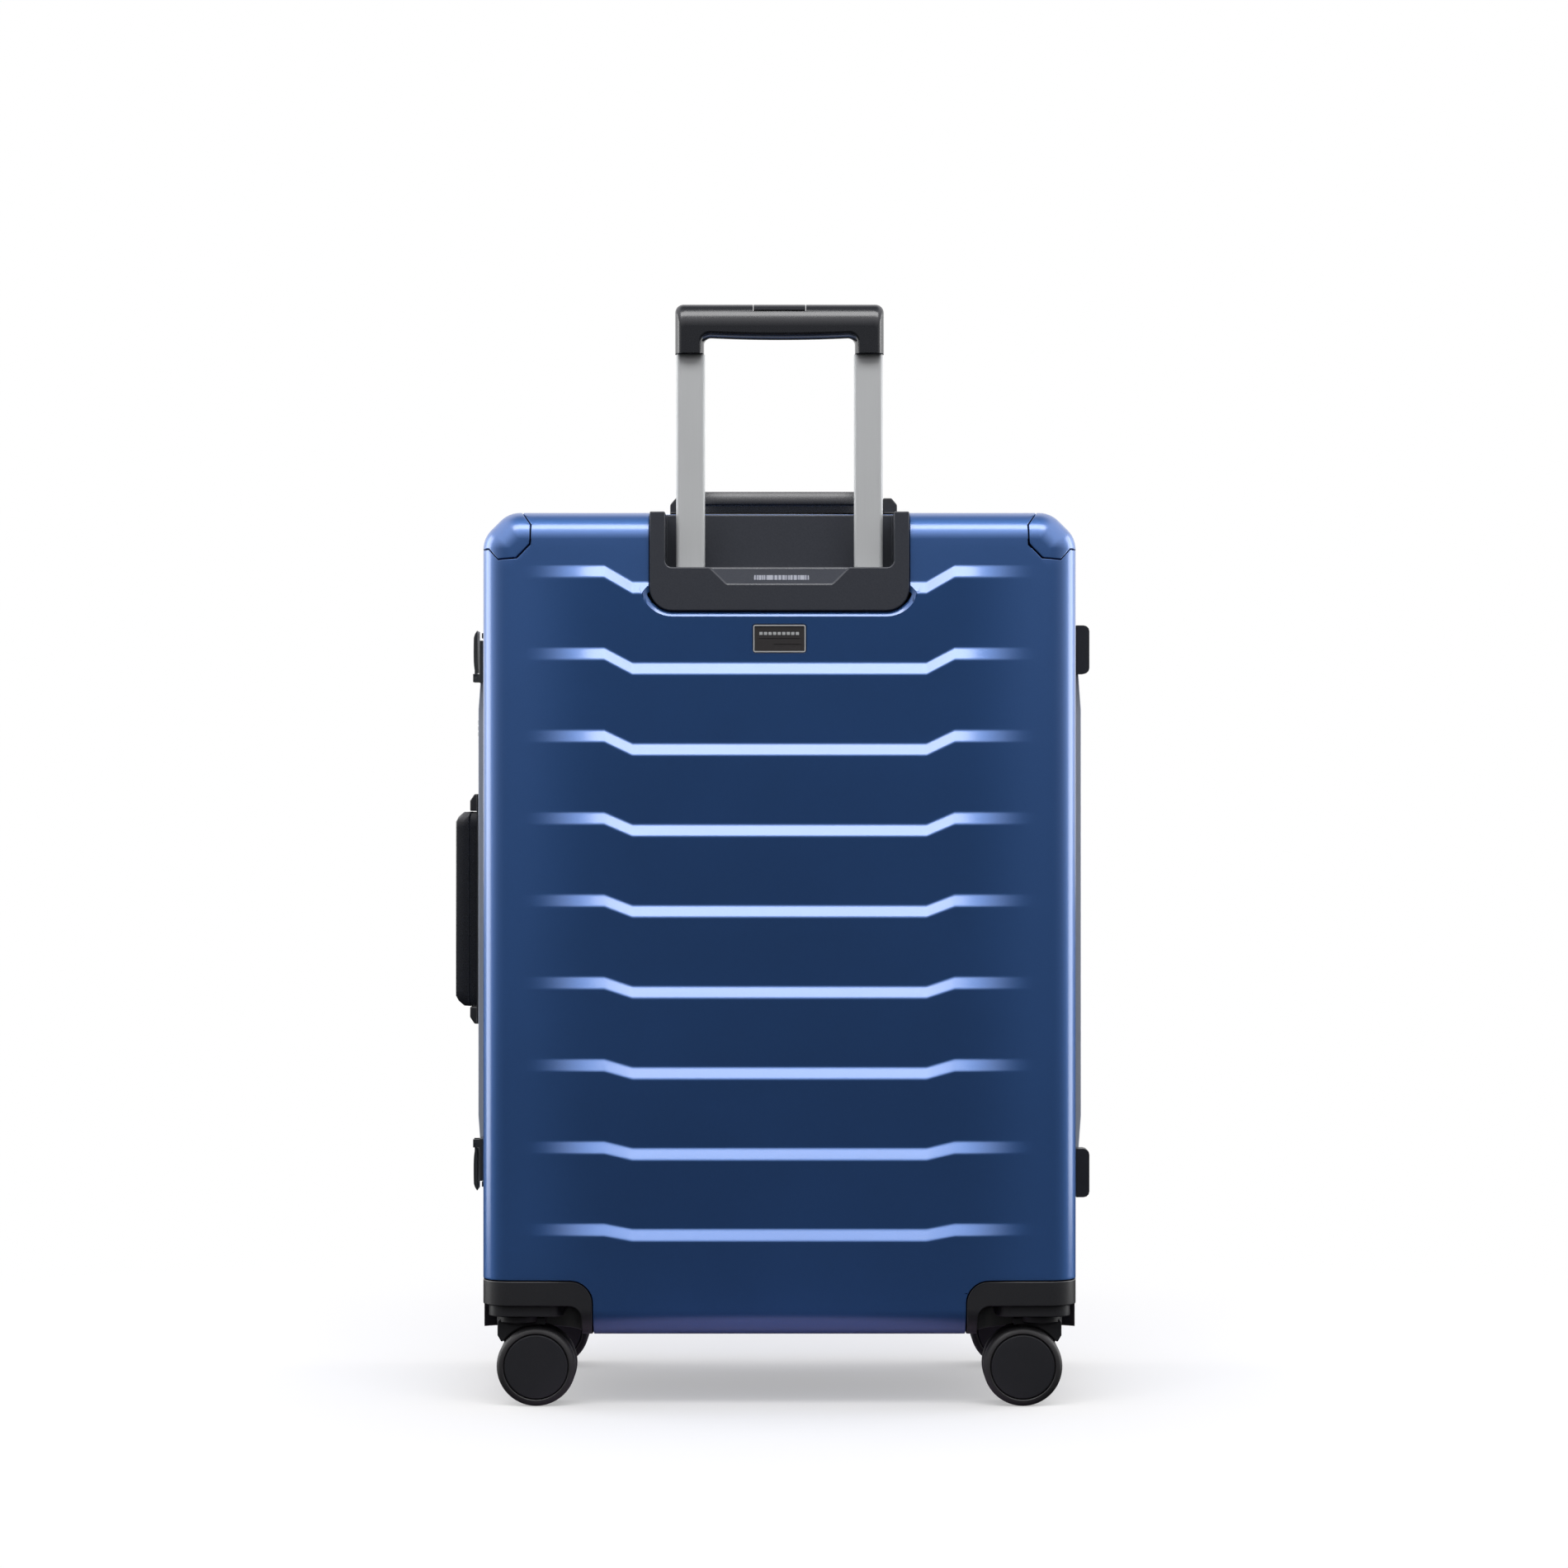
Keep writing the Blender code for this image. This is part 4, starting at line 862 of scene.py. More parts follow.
def caseFrames():
    f = frameValues
    groove = [(0.0070, f["face"]), (0.0070, 0.0042), (0.0038, 0.0042), (0.0038, f["face"])]
    tongue = [(0.0066, f["face"]), (0.0066, -0.0012), (0.0062, -0.0016)]
    tongue += [(0.0046, -0.0016), (0.0042, -0.0012), (0.0042, f["face"])]
    rear = frameRing("rearFrame", frameProfile(f["rearLip"], f["rearFlange"], groove), -1)
    settle(rear, 30)
    show(rear, silverFrame, "rear_half", "frame", "rear_frame")
    front = frameRing("frontBelt", frameProfile(f["frontLip"], f["frontFlange"], tongue))
    b = beltValues
    for sign in (-1, 1):
        inner, outer, flat = sign * b["foot"], sign * b["halfWidth"], sign * f["halfWidth"]
        z = b["z"]
        outline = [(inner, z[0]), (flat, z[0]), (outer, z[1]), (outer, z[2]), (flat, z[3]), (inner, z[3])]
        pad = prism("beltPad", outline, "y", 0.0006, b["back"])
        soften(pad, 0.0030, 5, 8)
        cut(front, pad, "UNION")
    for z in (0.2960, 0.4240):
        cut(front, block("postHole", (-0.2400, 0.0101, z - 0.0054), (-0.2000, 0.0169, z + 0.0054)))
    cut(front, block("lockPocket", (-0.2400, 0.0042, 0.4877), (-0.2200, 0.0228, 0.5073)))
    weld(front)
    settle(front, 30)
    show(front, blueBelt, "front_half", "belt", "front_frame")
    seal = [(0.0041, 0.0039), (0.0041, 0.0024), (0.0046, 0.0020), (0.0054, 0.0018)]
    seal += [(0.0062, 0.0020), (0.0067, 0.0024), (0.0067, 0.0039)]
    ring = frameRing("frameSeal", seal, -1)
    settle(ring, 30)
    show(ring, sealRubber, "rear_half", "seal", "frame_seal")
    clearTools()


rivetValues = {"Spacing": 0.0600, "Radius": 0.0022}


def curveOf(tree, got):
    line = tree.nodes.new("GeometryNodeMeshToCurve")
    tree.links.new(got["Geometry"], line.inputs[0])
    return line.outputs[0]


# flattened balls at even steps along a path, turned as given or else along the path
def beads(tree, got, radius, detail, scale, turn=None):
    points = tree.nodes.new("GeometryNodeCurveToPoints")
    points.mode = "LENGTH"
    tree.links.new(curveOf(tree, got), points.inputs[0])
    tree.links.new(got["Spacing"], points.inputs["Length"])
    ball = tree.nodes.new("GeometryNodeMeshUVSphere")
    ball.inputs["Segments"].default_value, ball.inputs["Rings"].default_value = detail
    tree.links.new(radius, ball.inputs["Radius"])
    place = tree.nodes.new("GeometryNodeInstanceOnPoints")
    place.inputs["Scale"].default_value = scale
    tree.links.new(points.outputs["Points"], place.inputs["Points"])
    tree.links.new(ball.outputs[0], place.inputs["Instance"])
    tree.links.new(turn or points.outputs["Rotation"], place.inputs["Rotation"])
    finishTree(tree, place.outputs[0], got["Finish"])
    return tree


# round rivet heads along a path, each facing the way the path's points say
def rivetTree():
    tree, got = geometryTree("rivet row", rivetValues, "Inward")
    aim = tree.nodes.new("FunctionNodeAlignRotationToVector")
    aim.axis = "Z"
    tree.links.new(got["Inward"], aim.inputs["Vector"])
    return beads(tree, got, got["Radius"], (12, 8), (1.0, 1.0, 0.42), aim.outputs[0])


def pathObject(name, points, closed=False):
    mesh = bpy.data.meshes.new(name)
    edges = [(i, i + 1) for i in range(len(points) - 1)] + ([(len(points) - 1, 0)] if closed else [])
    mesh.from_pydata([tuple(p) for p in points], edges, [])
    return linked(name, mesh)


def frameRivets():
    tree = rivetTree()
    f = frameValues
    inner = f["halfWidth"] - 0.0100
    for half, side in halves.items():
        y = side * (0.0095 if half == "rear" else 0.0110)
        rows = [((inner, 0.09), (inner, 0.61), (-1, 0, 0)), ((-inner, 0.09), (-inner, 0.61), (1, 0, 0)),
                ((-0.17, f["high"] - 0.0100), (0.17, f["high"] - 0.0100), (0, 0, -1)),
                ((-0.17, f["low"] + 0.0100), (0.17, f["low"] + 0.0100), (0, 0, 1))]
        made = []
        for start, end, inward in rows:
            row = pathObject("rivets", [(start[0], y, start[1]), (end[0], y, end[1])])
            made.append(runTree(row, tree, {"Inward": inward, "Finish": brightSteel, **rivetValues}))
        rivets = joinAll(f"frameRivets_{half}", made)
        settle(rivets, 60, False)
        show(rivets, brightSteel, half + "_half", "steel")


def joinAll(name, objects):
    bm = bmesh.new()
    for obj in objects:
        obj.data.transform(obj.matrix_world)
        bm.from_mesh(obj.data)
        bpy.data.objects.remove(obj, do_unlink=True)
    return fromBmesh(name, bm, False)


caseFrames()
frameRivets()
print("frames, seal and rivets built")


# trolley: housing, tubes, grip and button
tubeValues = {"x": 0.0650, "corner": 0.0032, "wall": 0.0012}


def trolleyHousing():
    h = housingValues
    body = prism("trolleyHousing", housingOutline(0, 0.6533), "y", -h["front"], -h["back"])
    r = h["recessCorner"]
    recess = roundedOutline((-h["recessHalf"], h["floor"]), (h["recessHalf"], 0.7000), (r, r, 0, 0), 6)
    cut(body, prism("recess", recess, "y", -0.1600, -h["recessBack"]))
    foot, half = h["scoopFoot"], h["scoopHalf"]
    rings = []
    for z, y in ((foot, -0.1360), (h["floor"] - 0.0003, -0.1215), (0.6300, -0.1215)):
        w = half + z - foot
        rings.append([(-w, -0.1400, z), (w, -0.1400, z), (w, y, z), (-w, y, z)])
    cut(body, lofted("scoop", rings))
    for sign in (-1, 1):
        x, y = sign * tubeValues["x"], gripValues["y"]
        hole = roundedOutline((x - 0.0121, y - 0.0076), (x + 0.0121, y + 0.0076), (0.0034,) * 4, 6)
        cut(body, prism("tubeHole", hole, "z", 0.5500, 0.6400))
    weld(body)
    soften(body, h["edge"], 3, 38, False)
    settle(body, 34)
    clearTools()
    show(body, housingPlastic, "rear_half", "dark_plastic", "trolley_housing")
    slope = math.atan2(h["floor"] - foot, 0.0145)
    outline = roundedOutline((-0.0200, -0.0026), (0.0200, 0.0026), (0.0005,) * 4, 3)
    label = prism("scoopLabel", outline, "z", 0.0, 0.0003)
    place = Matrix.Translation((0.0015, -0.1292, foot + 0.0062)) @ Matrix.Rotation(slope, 4, "X")
    label.data.transform(place)
    settle(label, 34)
    show(label, labelPrint, "rear_half", "nameplate")


def hollowTube(name, body):
    low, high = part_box(name)
    low, high = low - Vector((midX, 0, 0)), high - Vector((midX, 0, 0))
    r, wall = tubeValues["corner"], tubeValues["wall"]
    outside = roundedOutline((low.x, low.y), (high.x, high.y), (r,) * 4, 6)
    inside = roundedOutline((low.x + wall, low.y + wall), (high.x - wall, high.y - wall), (r - wall,) * 4, 6)
    rings = [[(x, y, z) for x, y in line] for line, z in
             ((inside, low.z), (outside, low.z), (outside, high.z), (inside, high.z))]
    tube = lofted("tube_" + name[8:], rings + rings[:1], False)
    weld(tube, 0.00001)
    settle(tube, 40)
    return show(tube, tubeMetal, body, "tube", name)


gripValues = {
    "halfWidth": 0.0763, "leg": 0.0212, "foot": 0.7690, "bar": 0.7812, "top": 0.8055, "y": -0.1165,
    "halfDepth": 0.0130, "outerCorner": 0.0062, "innerCorner": 0.0050, "belly": 0.0012, "rollZ": 0.0165,
    "rollY": 0.0115, "buttonHalf": 0.0190, "buttonFront": 0.0096, "buttonBack": 0.0080, "buttonDeep": 0.0048,
    "pocketDeep": 0.0094, "gap": 0.0004,
}


def gripOutline(inset):
    g = gripValues
    w, top = g["halfWidth"] - 0.35 * inset, g["top"] - inset
    inner, bar = g["halfWidth"] - g["leg"] + 0.25 * inset, g["bar"] + 0.25 * inset
    outerR, innerR = max(g["outerCorner"] - 0.2 * inset, 0.0020), g["innerCorner"] + 0.2 * inset
    points = [(w, g["foot"]), (w, (g["foot"] + bar) / 2)]
    points += [(w - outerR + outerR * math.cos(a), top - outerR + outerR * math.sin(a))
               for a in (math.pi / 2 * i / 8 for i in range(9))]
    points += [(-x, z) for x, z in reversed(points[2:])] + [(-w, (g["foot"] + bar) / 2), (-w, g["foot"])]
    points.append((-inner, g["foot"]))
    arc = [(-inner + innerR - innerR * math.cos(a), bar - innerR + innerR * math.sin(a))
           for a in (math.pi / 2 * i / 8 for i in range(9))]
    reach = inner - innerR
    under = [(-reach + 2 * reach * i / 16, bar) for i in range(1, 16)]
    low = [(x, z - g["belly"] * (1 - (x / reach) ** 2)) for x, z in under]
    return points + arc + low + [(-x, z) for x, z in reversed(arc)] + [(inner, g["foot"])]


def gripForm(name):
    g = gripValues
    rings = []
    for side in (-1, 1):
        rows = []
        for i in range(9):
            a = math.pi / 2 * i / 8
            inset = g["rollZ"] * (1 - math.sin(a))
            y = g["y"] + side * (g["halfDepth"] - g["rollY"] * (1 - math.cos(a)))
            rows.append([(x, y, z) for x, z in gripOutline(inset)])
        rings += rows if side < 0 else rows[::-1]
    return lofted(name, rings)


def trolleyGrip():
    g = gripValues
    top, y = g["top"], g["y"]
    grip = gripForm("trolleyGrip")
    gap = g["gap"]
    pocket = block("pocket", (-g["buttonHalf"] - gap, y - g["buttonFront"] - gap, top - g["pocketDeep"]),
                   (g["buttonHalf"] + gap, y + g["buttonBack"] + gap, top + 0.0200))
    cut(grip, pocket)
    for sign in (-1, 1):
        x = sign * tubeValues["x"]
        cut(grip, block("spigot", (x - 0.0086, y - 0.0041, g["foot"] - 0.0150),
                        (x + 0.0086, y + 0.0041, g["foot"] + 0.0040)), "UNION")
    weld(grip)
    soften(grip, 0.0004, 2, 50, False)
    settle(grip, 36)
    show(grip, gripPlastic, "trolley_top", "black_plastic", "trolley_grip")
    button = gripForm("gripButton")
    region = block("region", (-g["buttonHalf"], y - g["buttonFront"], top - g["buttonDeep"]),
                   (g["buttonHalf"], y + g["buttonBack"], top + 0.0200))
    cut(button, region, "INTERSECT")
    weld(button)
    soften(button, 0.0005, 3, 40, False)
    settle(button, 36)
    show(button, gripPlastic, "trolley_button", "dark_plastic", "trolley_button")
    clearTools()


def wireLabel(tree, coords):
    # a printed strip: plain bars of several widths, no writing
    bars = noise(tree, stretched(tree, coords, (1.0, 0.0, 0.0)), 700.0, 0.0)
    return calc(tree, "GREATER_THAN", bars, 0.52)


def printedLabel():
    made, tree, shader, coords = shaderOf("labelPrint")
    bars = wireLabel(tree, coords)
    fine = use(tree, grain, Vector=coords, Scale=2500.0)
    tone = mixed(tree, bars, (0.42, 0.44, 0.50, 1), (0.16, 0.17, 0.21, 1))
    tree.links.new(tone, shader.inputs["Base Color"])
    tree.links.new(calc(tree, "MULTIPLY_ADD", fine["Pits"], 0.1, 0.32), shader.inputs["Roughness"])
    bumped(tree, shader, fine["Height"], 0.2, 0.00002)
    return made


labelPrint = printedLabel()
trolleyHousing()
for label in sides:
    for stage, body in (("outer", "rear_half"), ("mid", "trolley_mid"), ("inner", "trolley_top")):
        hollowTube(f"trolley_{stage}_tube_{label}", body)
trolleyGrip()
print("trolley built")


# nameplate, handles, latches, lock and hinges
def namePlate():
    p = plateValues
    body = prism("namePlate", plateOutline(0), "y", -0.0006, 0.0010)
    soften(body, 0.0005, 3, 50)
    cut(body, prism("rim", plateOutline(-0.0011), "y", -0.0100, -0.0002))
    fields = (((-0.0150, 0.0020), (0.0150, 0.0052)), ((-0.0150, -0.0008), (0.0150, 0.0002)),
              ((-0.0040, -0.0066), (0.0155, -0.0040)))
    for low, high in fields:
        cut(body, block("field", (low[0], -0.0100, low[1]), (high[0], 0.0001, high[1])))
    weld(body, 0.00005)
    settle(body, 36)
    place = Matrix.Translation((midX, 0, 0)) @ plateFrame() @ Matrix.Translation((-midX, 0, 0))
    body.data.transform(place)
    clearTools()
    show(body, plateMetal, "rear_half", "nameplate", "nameplate")
    outer, inner = plateOutline(-0.0001), plateOutline(-0.0010)
    layers = ((inner, 0.0), (outer, 0.0), (outer, -0.0007), (inner, -0.0007))
    rings = [[(x, y, z) for x, z in line] for line, y in layers]
    rim = lofted("plateRim", rings + rings[:1], False)
    weld(rim, 0.00001)
    settle(rim, 40)
    rim.data.transform(place)
    show(rim, tubeMetal, "rear_half", "nameplate")
    for i in range(9):  # a row of plain bars stands where a maker would sign
        bar = block("mark", (-0.0146 + i * 0.0033, -0.00015, 0.0025), (-0.0122 + i * 0.0033, 0.0002, 0.0047))
        soften(bar, 0.0002, 2, 40)
        settle(bar, 36)
        bar.data.transform(place)
        bar.name = f"plateMark_{i}"
        show(bar, tubeMetal, "rear_half", "nameplate")


sideHandle = {
    "y": 0.0135, "z": 0.3600, "seat": -0.2293, "half": 0.0874, "cap": 0.0130, "capOut": -0.2355,
    "low": -0.2304, "high": -0.2468, "post": 0.0640,
}


# a carry grip along X: a padded bar with chamfered shoulders on a narrower waist, its ends tapered
def gripBar(name, length, depth, low, high, ends, waist):
    rings = []
    stations = 28
    for i in range(stations + 1):
        t = -1 + 2 * i / stations
        t = math.copysign(abs(t) ** 0.7, t)
        edge = min(1.0, (1 - abs(t)) * length / ends)
        ease = math.sin(edge * math.pi / 2)
        rise = (high - low) * (0.62 + 0.38 * ease)
        half = depth * (0.86 + 0.14 * ease)
        foot, step = half - 0.0016, waist * (0.8 + 0.2 * ease)
        side = [(foot, 0.0), (foot, step - 0.0006), (half - 0.0006, step), (half, step + 0.0007)]
        side += [(half, rise - 0.0060), (half - 0.0026, rise - 0.0010), (half - 0.0046, rise - 0.0003)]
        side.append((half * 0.25, rise))
        ring = side + [(-u, v) for u, v in reversed(side)]
        rings.append([(t * length, u, low + v) for u, v in ring])
    bar = lofted(name, rings)
    soften(bar, 0.0007, 2, 50)
    return bar


def carryHandles():
    t = topHandle
    x, y = t["x"], t["y"]
    seat, half = t["seat"], t["half"]
    base = block("topHandleBase", (x - half, y - 0.0140, seat), (x + half, y + 0.0140, seat + 0.0018))
    for sign in (-1, 1):
        outer, inner = x + sign * half, x + sign * (half - t["cap"])
        profile = [(outer, seat + 0.0004), (outer, t["capTop"] - 0.0050), (outer - sign * 0.0042, t["capTop"]),
                   (inner, t["capTop"]), (inner, seat + 0.0004)]
        cut(base, prism("cap", profile, "y", y - 0.0138, y + 0.0138), "UNION")
        middle = x + sign * t["post"]
        cut(base, block("hole", (middle - 0.0054, y - 0.0044, 0.6000), (middle + 0.0054, y + 0.0044, 0.6600)))
    weld(base)
    soften(base, 0.0010, 3, 40, False)
    settle(base, 36)
    show(base, blackPlastic, "rear_half", "black_plastic", "top_handle_base")
    reach = half - t["cap"] - 0.0006
    bar = gripBar("topGrip", reach, 0.0120, t["low"], t["high"], 0.0060, 0.0062)
    bar.data.transform(Matrix.Translation((x, y, 0)))
    for sign in (-1, 1):
        middle = x + sign * t["post"]
        post = block("post", (middle - 0.0050, y - 0.0040, 0.6330), (middle + 0.0050, y + 0.0040, 0.6660))
        cut(bar, post, "UNION")
    settle(bar, 36)
    show(bar, gripPlastic, "top_handle", "black_plastic", "top_handle_grip")
    s = sideHandle
    y, z = s["y"], s["z"]
    seat, half = s["seat"], s["half"]
    base = block("sideHandleBase", (seat - 0.0008, y - 0.0110, z - half), (seat, y + 0.0110, z + half))
    for sign in (-1, 1):
        outer, inner = z + sign * half, z + sign * (half - s["cap"])
        profile = [(seat - 0.0002, outer), (s["capOut"] + 0.0034, outer), (s["capOut"], outer - sign * 0.0052),
                   (s["capOut"], inner), (seat - 0.0002, inner)]
        cut(base, prism("cap", profile, "y", y - 0.0108, y + 0.0108), "UNION")
        middle = z + sign * s["post"]
        cut(base, block("hole", (-0.2400, y - 0.0034, middle - 0.0054), (-0.2000, y + 0.0034, middle + 0.0054)))
    weld(base)
    soften(base, 0.0010, 3, 40, False)
    settle(base, 36)
    show(base, blackPlastic, "front_half", "black_plastic", "side_handle_base")
    reach = half - s["cap"] - 0.0006
    bar = gripBar("sideGrip", reach, 0.0105, 0.0, s["low"] - s["high"], 0.0080, 0.0058)
    turn = Matrix(((0, 0, -1, s["low"]), (0, 1, 0, y), (1, 0, 0, z), (0, 0, 0, 1)))
    bar.data.transform(turn)
    for sign in (-1, 1):
        middle = z + sign * s["post"]
        post = block("post", (-0.2380, y - 0.0030, middle - 0.0050), (-0.2080, y + 0.0030, middle + 0.0050))
        cut(bar, post, "UNION")
    settle(bar, 36)
    show(bar, gripPlastic, "side_handle", "black_plastic", "side_handle_grip")
    clearTools()


latchValues = {
    "upper": (0.5512, -1), "lower": (0.1672, 1), "outer": -0.2312, "inner": -0.2287, "half": 0.0198,
    "pivot": 0.0150, "axis": -0.2298,
}


# a crowned lever whose free end is bevelled down to the frame
def latchLever(label):
    v = latchValues
    z, toward = v[label]
    far, near = z - toward * v["half"], z + toward * (v["pivot"] - 0.0032)
    length = abs(near - far)
    outline = []
    for i in range(13):
        t = i / 12
        drop = 0.0022 * max(0.0, 1 - t / 0.16) ** 1.5 + 0.0007 * max(0.0, (t - 0.7) / 0.3) ** 2
        crown = 0.0004 * (1 - (2 * t - 1) ** 2)
        outline.append((v["outer"] + drop - crown, far + toward * length * t))
    outline += [(v["inner"], near), (v["inner"], far)]
    lever = prism(f"latchLever_{label}", outline, "y", -0.0130, 0.0150)
    soften(lever, 0.0005, 3, 35)
    neck = sorted((z + toward * v["pivot"], near + toward * -0.0030))
    cut(lever, block("neck", (-0.2308, -0.0128, neck[0]), (-0.2290, -0.0040, neck[1])), "UNION")
    pivot = z + toward * v["pivot"]
    x = v["axis"]
    cut(lever, rod("barrel", (x, -0.0128, pivot), (x, -0.0040, pivot), 0.0014), "UNION")
    cut(lever, rod("pin", (x, -0.0150, pivot), (x, -0.0018, pivot), 0.0008, 24), "UNION")
    settle(lever, 34)
    clearTools()
    show(lever, gunmetal, f"latch_{label}", "gunmetal", f"latch_lever_{label}")


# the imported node's own shape with its flat faces joined up and its edges rounded
def refined(node, name, finish, body, slot, width, segments=3, angle=40):
    bm = bmesh.new()
    bm.from_mesh(nodes[node].data)
    bmesh.ops.remove_doubles(bm, verts=bm.verts, dist=0.00001)
    bmesh.ops.dissolve_limit(bm, angle_limit=math.radians(1.5), verts=bm.verts, edges=bm.edges)
    bmesh.ops.translate(bm, verts=bm.verts, vec=(-midX, 0, 0))
    copy = fromBmesh(name, bm)
    soften(copy, width, segments, angle)
    settle(copy, 36)
    return show(copy, finish, body, slot, node)


def smallParts():
    for label in ("upper", "lower"):
        latchLever(label)
        refined(f"latch_base_{label}", f"latchBase_{label}", gunmetal, "rear_half", "gunmetal", 0.0004)
        refined(f"latch_catch_{label}", f"latchCatch_{label}", gunmetal, "front_half", "gunmetal", 0.0003)
        refined(f"hinge_block_{label}", f"hingeBlock_{label}", blackPlastic, "rear_half", "black_plastic", 0.0006)
        refined(f"hinge_leaf_{label}", f"hingeLeaf_{label}", brightSteel, "front_half", "steel", 0.0002)
    refined("lock_body", "lockBody", gunmetal, "front_half", "gunmetal", 0.0004)
    for i in (1, 2, 3):
        refined(f"lock_dial_{i}", f"lockDial_{i}", brightSteel, f"dial_{i}", "steel", 0.0003)


namePlate()
carryHandles()
smallParts()
print("nameplate, handles, latches, lock and hinges built")


# casters: fork with fender and turntable, twin wheels with caps
wheelValues = {
    "radius": 0.0290, "width": 0.0140, "gap": 0.0034, "z": 0.0290, "capRadius": 0.0232, "lip": 0.0241,
    "bore": 0.0022,
}
forkValues = {
    "swivelX": 0.1910, "swivelY": 0.1030, "trail": 0.0130, "web": 0.0030,
    "fenderHalf": 0.0100, "fenderGap": 0.0012, "fenderOut": 0.2066,
}


def casterWheel(half, label, place):
    w, f = wheelValues, forkValues
    side, sign = halves[half], sides[label]
    outward = side if place == "outer" else -side
    x = sign * (f["swivelX"] - f["trail"])
    y = side * f["swivelY"] + outward * w["gap"]
    r, wide, lip, cap = w["radius"], w["width"], w["lip"], w["capRadius"]
    tyre = [(0.0, 0.0110), (w["bore"], 0.0110), (w["bore"], 0.0), (0.0120, 0.0), (0.0130, 0.0008),
            (0.0225, 0.0008), (0.0240, 0.0), (0.0262, 0.0002), (0.0277, 0.0010), (0.0286, 0.0024),
            (r, 0.0044), (r, 0.0090), (0.0288, 0.0108), (0.0281, 0.0124), (0.0270, 0.0134), (0.0256, 0.0139),
            (lip + 0.0004, wide), (lip, wide - 0.0003),
            (lip, wide - 0.0032), (0.0, wide - 0.0032)]
    name = f"{half}_{label}_{place}"
    body = turned("tyre_" + name, tyre, (x, y, w["z"]), (0, outward, 0), 72)
    settle(body, 32)
    show(body, wheelRubber, "wheel_" + name, "wheel", "wheel_" + name)
    disc = [(0.0, wide - 0.0030), (cap, wide - 0.0030), (cap, wide - 0.0006), (cap - 0.0003, wide - 0.0002),
            (cap - 0.0010, wide), (0.0120, wide + 0.0001), (0.0, wide + 0.0001)]
    face = turned("wheelCap_" + name, disc, (x, y, w["z"]), (0, outward, 0), 72)
    settle(face, 32)
    show(face, wheelCap, "wheel_" + name, "wheel")


# a web between the wheels under a turntable, with a fender over the leading side
def casterFork(half, label):
    f, w = forkValues, wheelValues
    side, sign = halves[half], sides[label]
    x, y = f["swivelX"], f["swivelY"]
    axleX, z = x - f["trail"], w["z"]
    name = f"casterFork_{half}_{label}"
    web = [(x + 0.0140, 0.0640), (x + 0.0152, 0.0560), (x + 0.0120, 0.0465), (axleX + 0.0062, 0.0250),
           (axleX + 0.0030, 0.0229), (axleX - 0.0030, 0.0229), (axleX - 0.0062, 0.0260),
           (axleX - 0.0070, 0.0340), (x - 0.0142, 0.0600), (x - 0.0142, 0.0640)]
    web = filleted(web, (0.001, 0.003, 0.004, 0.003, 0.002, 0.002, 0.003, 0.004, 0.002, 0.001), 3)
    fork = prism(name, [(sign * a, b) for a, b in web], "y", side * y - f["web"], side * y + f["web"])
    soften(fork, 0.0006, 2, 50)
    reach = w["radius"] + f["fenderGap"]
    angles = (math.radians(36 + 66 * i / 14) for i in range(15))
    inner = [(axleX + reach * math.cos(a), z + reach * math.sin(a)) for a in angles]
    far, wide = f["fenderOut"], f["fenderHalf"]
    outer = [(axleX - 0.0065, 0.0640), (far - 0.0030, 0.0640), (far, 0.0615), (far, 0.0512), (0.2038, 0.0465)]
    fender = prism("fender", [(sign * a, b) for a, b in inner + outer], "y", side * y - wide, side * y + wide)
    soften(fender, 0.0008, 3, 40)
    cut(fork, fender, "UNION")
    plate = [(0.0, 0.0600), (0.0150, 0.0600), (0.0165, 0.0612), (0.0165, 0.0650), (0.0157, 0.0658), (0.0, 0.0658)]
    disc = turned("disc", plate, (sign * x, side * y, 0), (0, 0, 1), 48)
    cut(fork, disc, "UNION")
    cut(fork, rod("stem", (sign * x, side * y, 0.0640), (sign * x, side * y, 0.0718), 0.0040), "UNION")
    cut(fork, rod("bore", (sign * axleX, side * y - 0.02, z), (sign * axleX, side * y + 0.02, z), 0.0023, 24))
    weld(fork)
    settle(fork, 34)
    clearTools()
    show(fork, blackPlastic, f"caster_{half}_{label}", "black_plastic", f"caster_fork_{half}_{label}")


for half in halves:
    for label in sides:
        casterFork(half, label)
        for place in ("outer", "inner"):
            casterWheel(half, label, place)
print("casters built")


# inside: cloth linings with a stitched piping round each mouth
liningValues = {
    "halfWidth": 0.2125, "low": 0.0605, "high": 0.6460, "corner": 0.0280, "inset": 0.0029,
    "rearMouth": -0.0158, "frontMouth": 0.0198, "stitchInset": 0.0014, "stitchBelow": 0.0050,
}
pipingValues = {"Radius": 0.0015}
stitchValues = {"Spacing": 0.0046, "Length": 0.0016}


def clothOf(name, colour, light, threads):
    made, tree, shader, coords = shaderOf(name)
    place = tree.nodes.new("ShaderNodeSeparateXYZ")
    join = tree.nodes.new("ShaderNodeCombineXYZ")
    tree.links.new(coords, place.inputs[0])
    for i, along in enumerate((0, 2)):  # depth is added to both, so the side walls are woven too
        tree.links.new(calc(tree, "ADD", place.outputs[along], place.outputs[1]), join.inputs[i])
    woven = use(tree, weave, Vector=join.outputs[0], Threads=threads)
    slack = noise(tree, stretched(tree, coords, (1.0, 1.0, 0.35)), 16.0, 3.0, 0.55, 0.6)
    tone = calc(tree, "MULTIPLY_ADD", woven["Over"], 0.5, calc(tree, "MULTIPLY", slack, 0.5))
    tree.links.new(mixed(tree, tone, (*colour, 1), (*light, 1)), shader.inputs["Base Color"])
    tree.links.new(calc(tree, "MULTIPLY_ADD", woven["Over"], 0.12, 0.56), shader.inputs["Roughness"])
    height = calc(tree, "MULTIPLY_ADD", slack, 9.0, woven["Height"])
    bumped(tree, shader, height, 0.5, 0.00030)
    return made


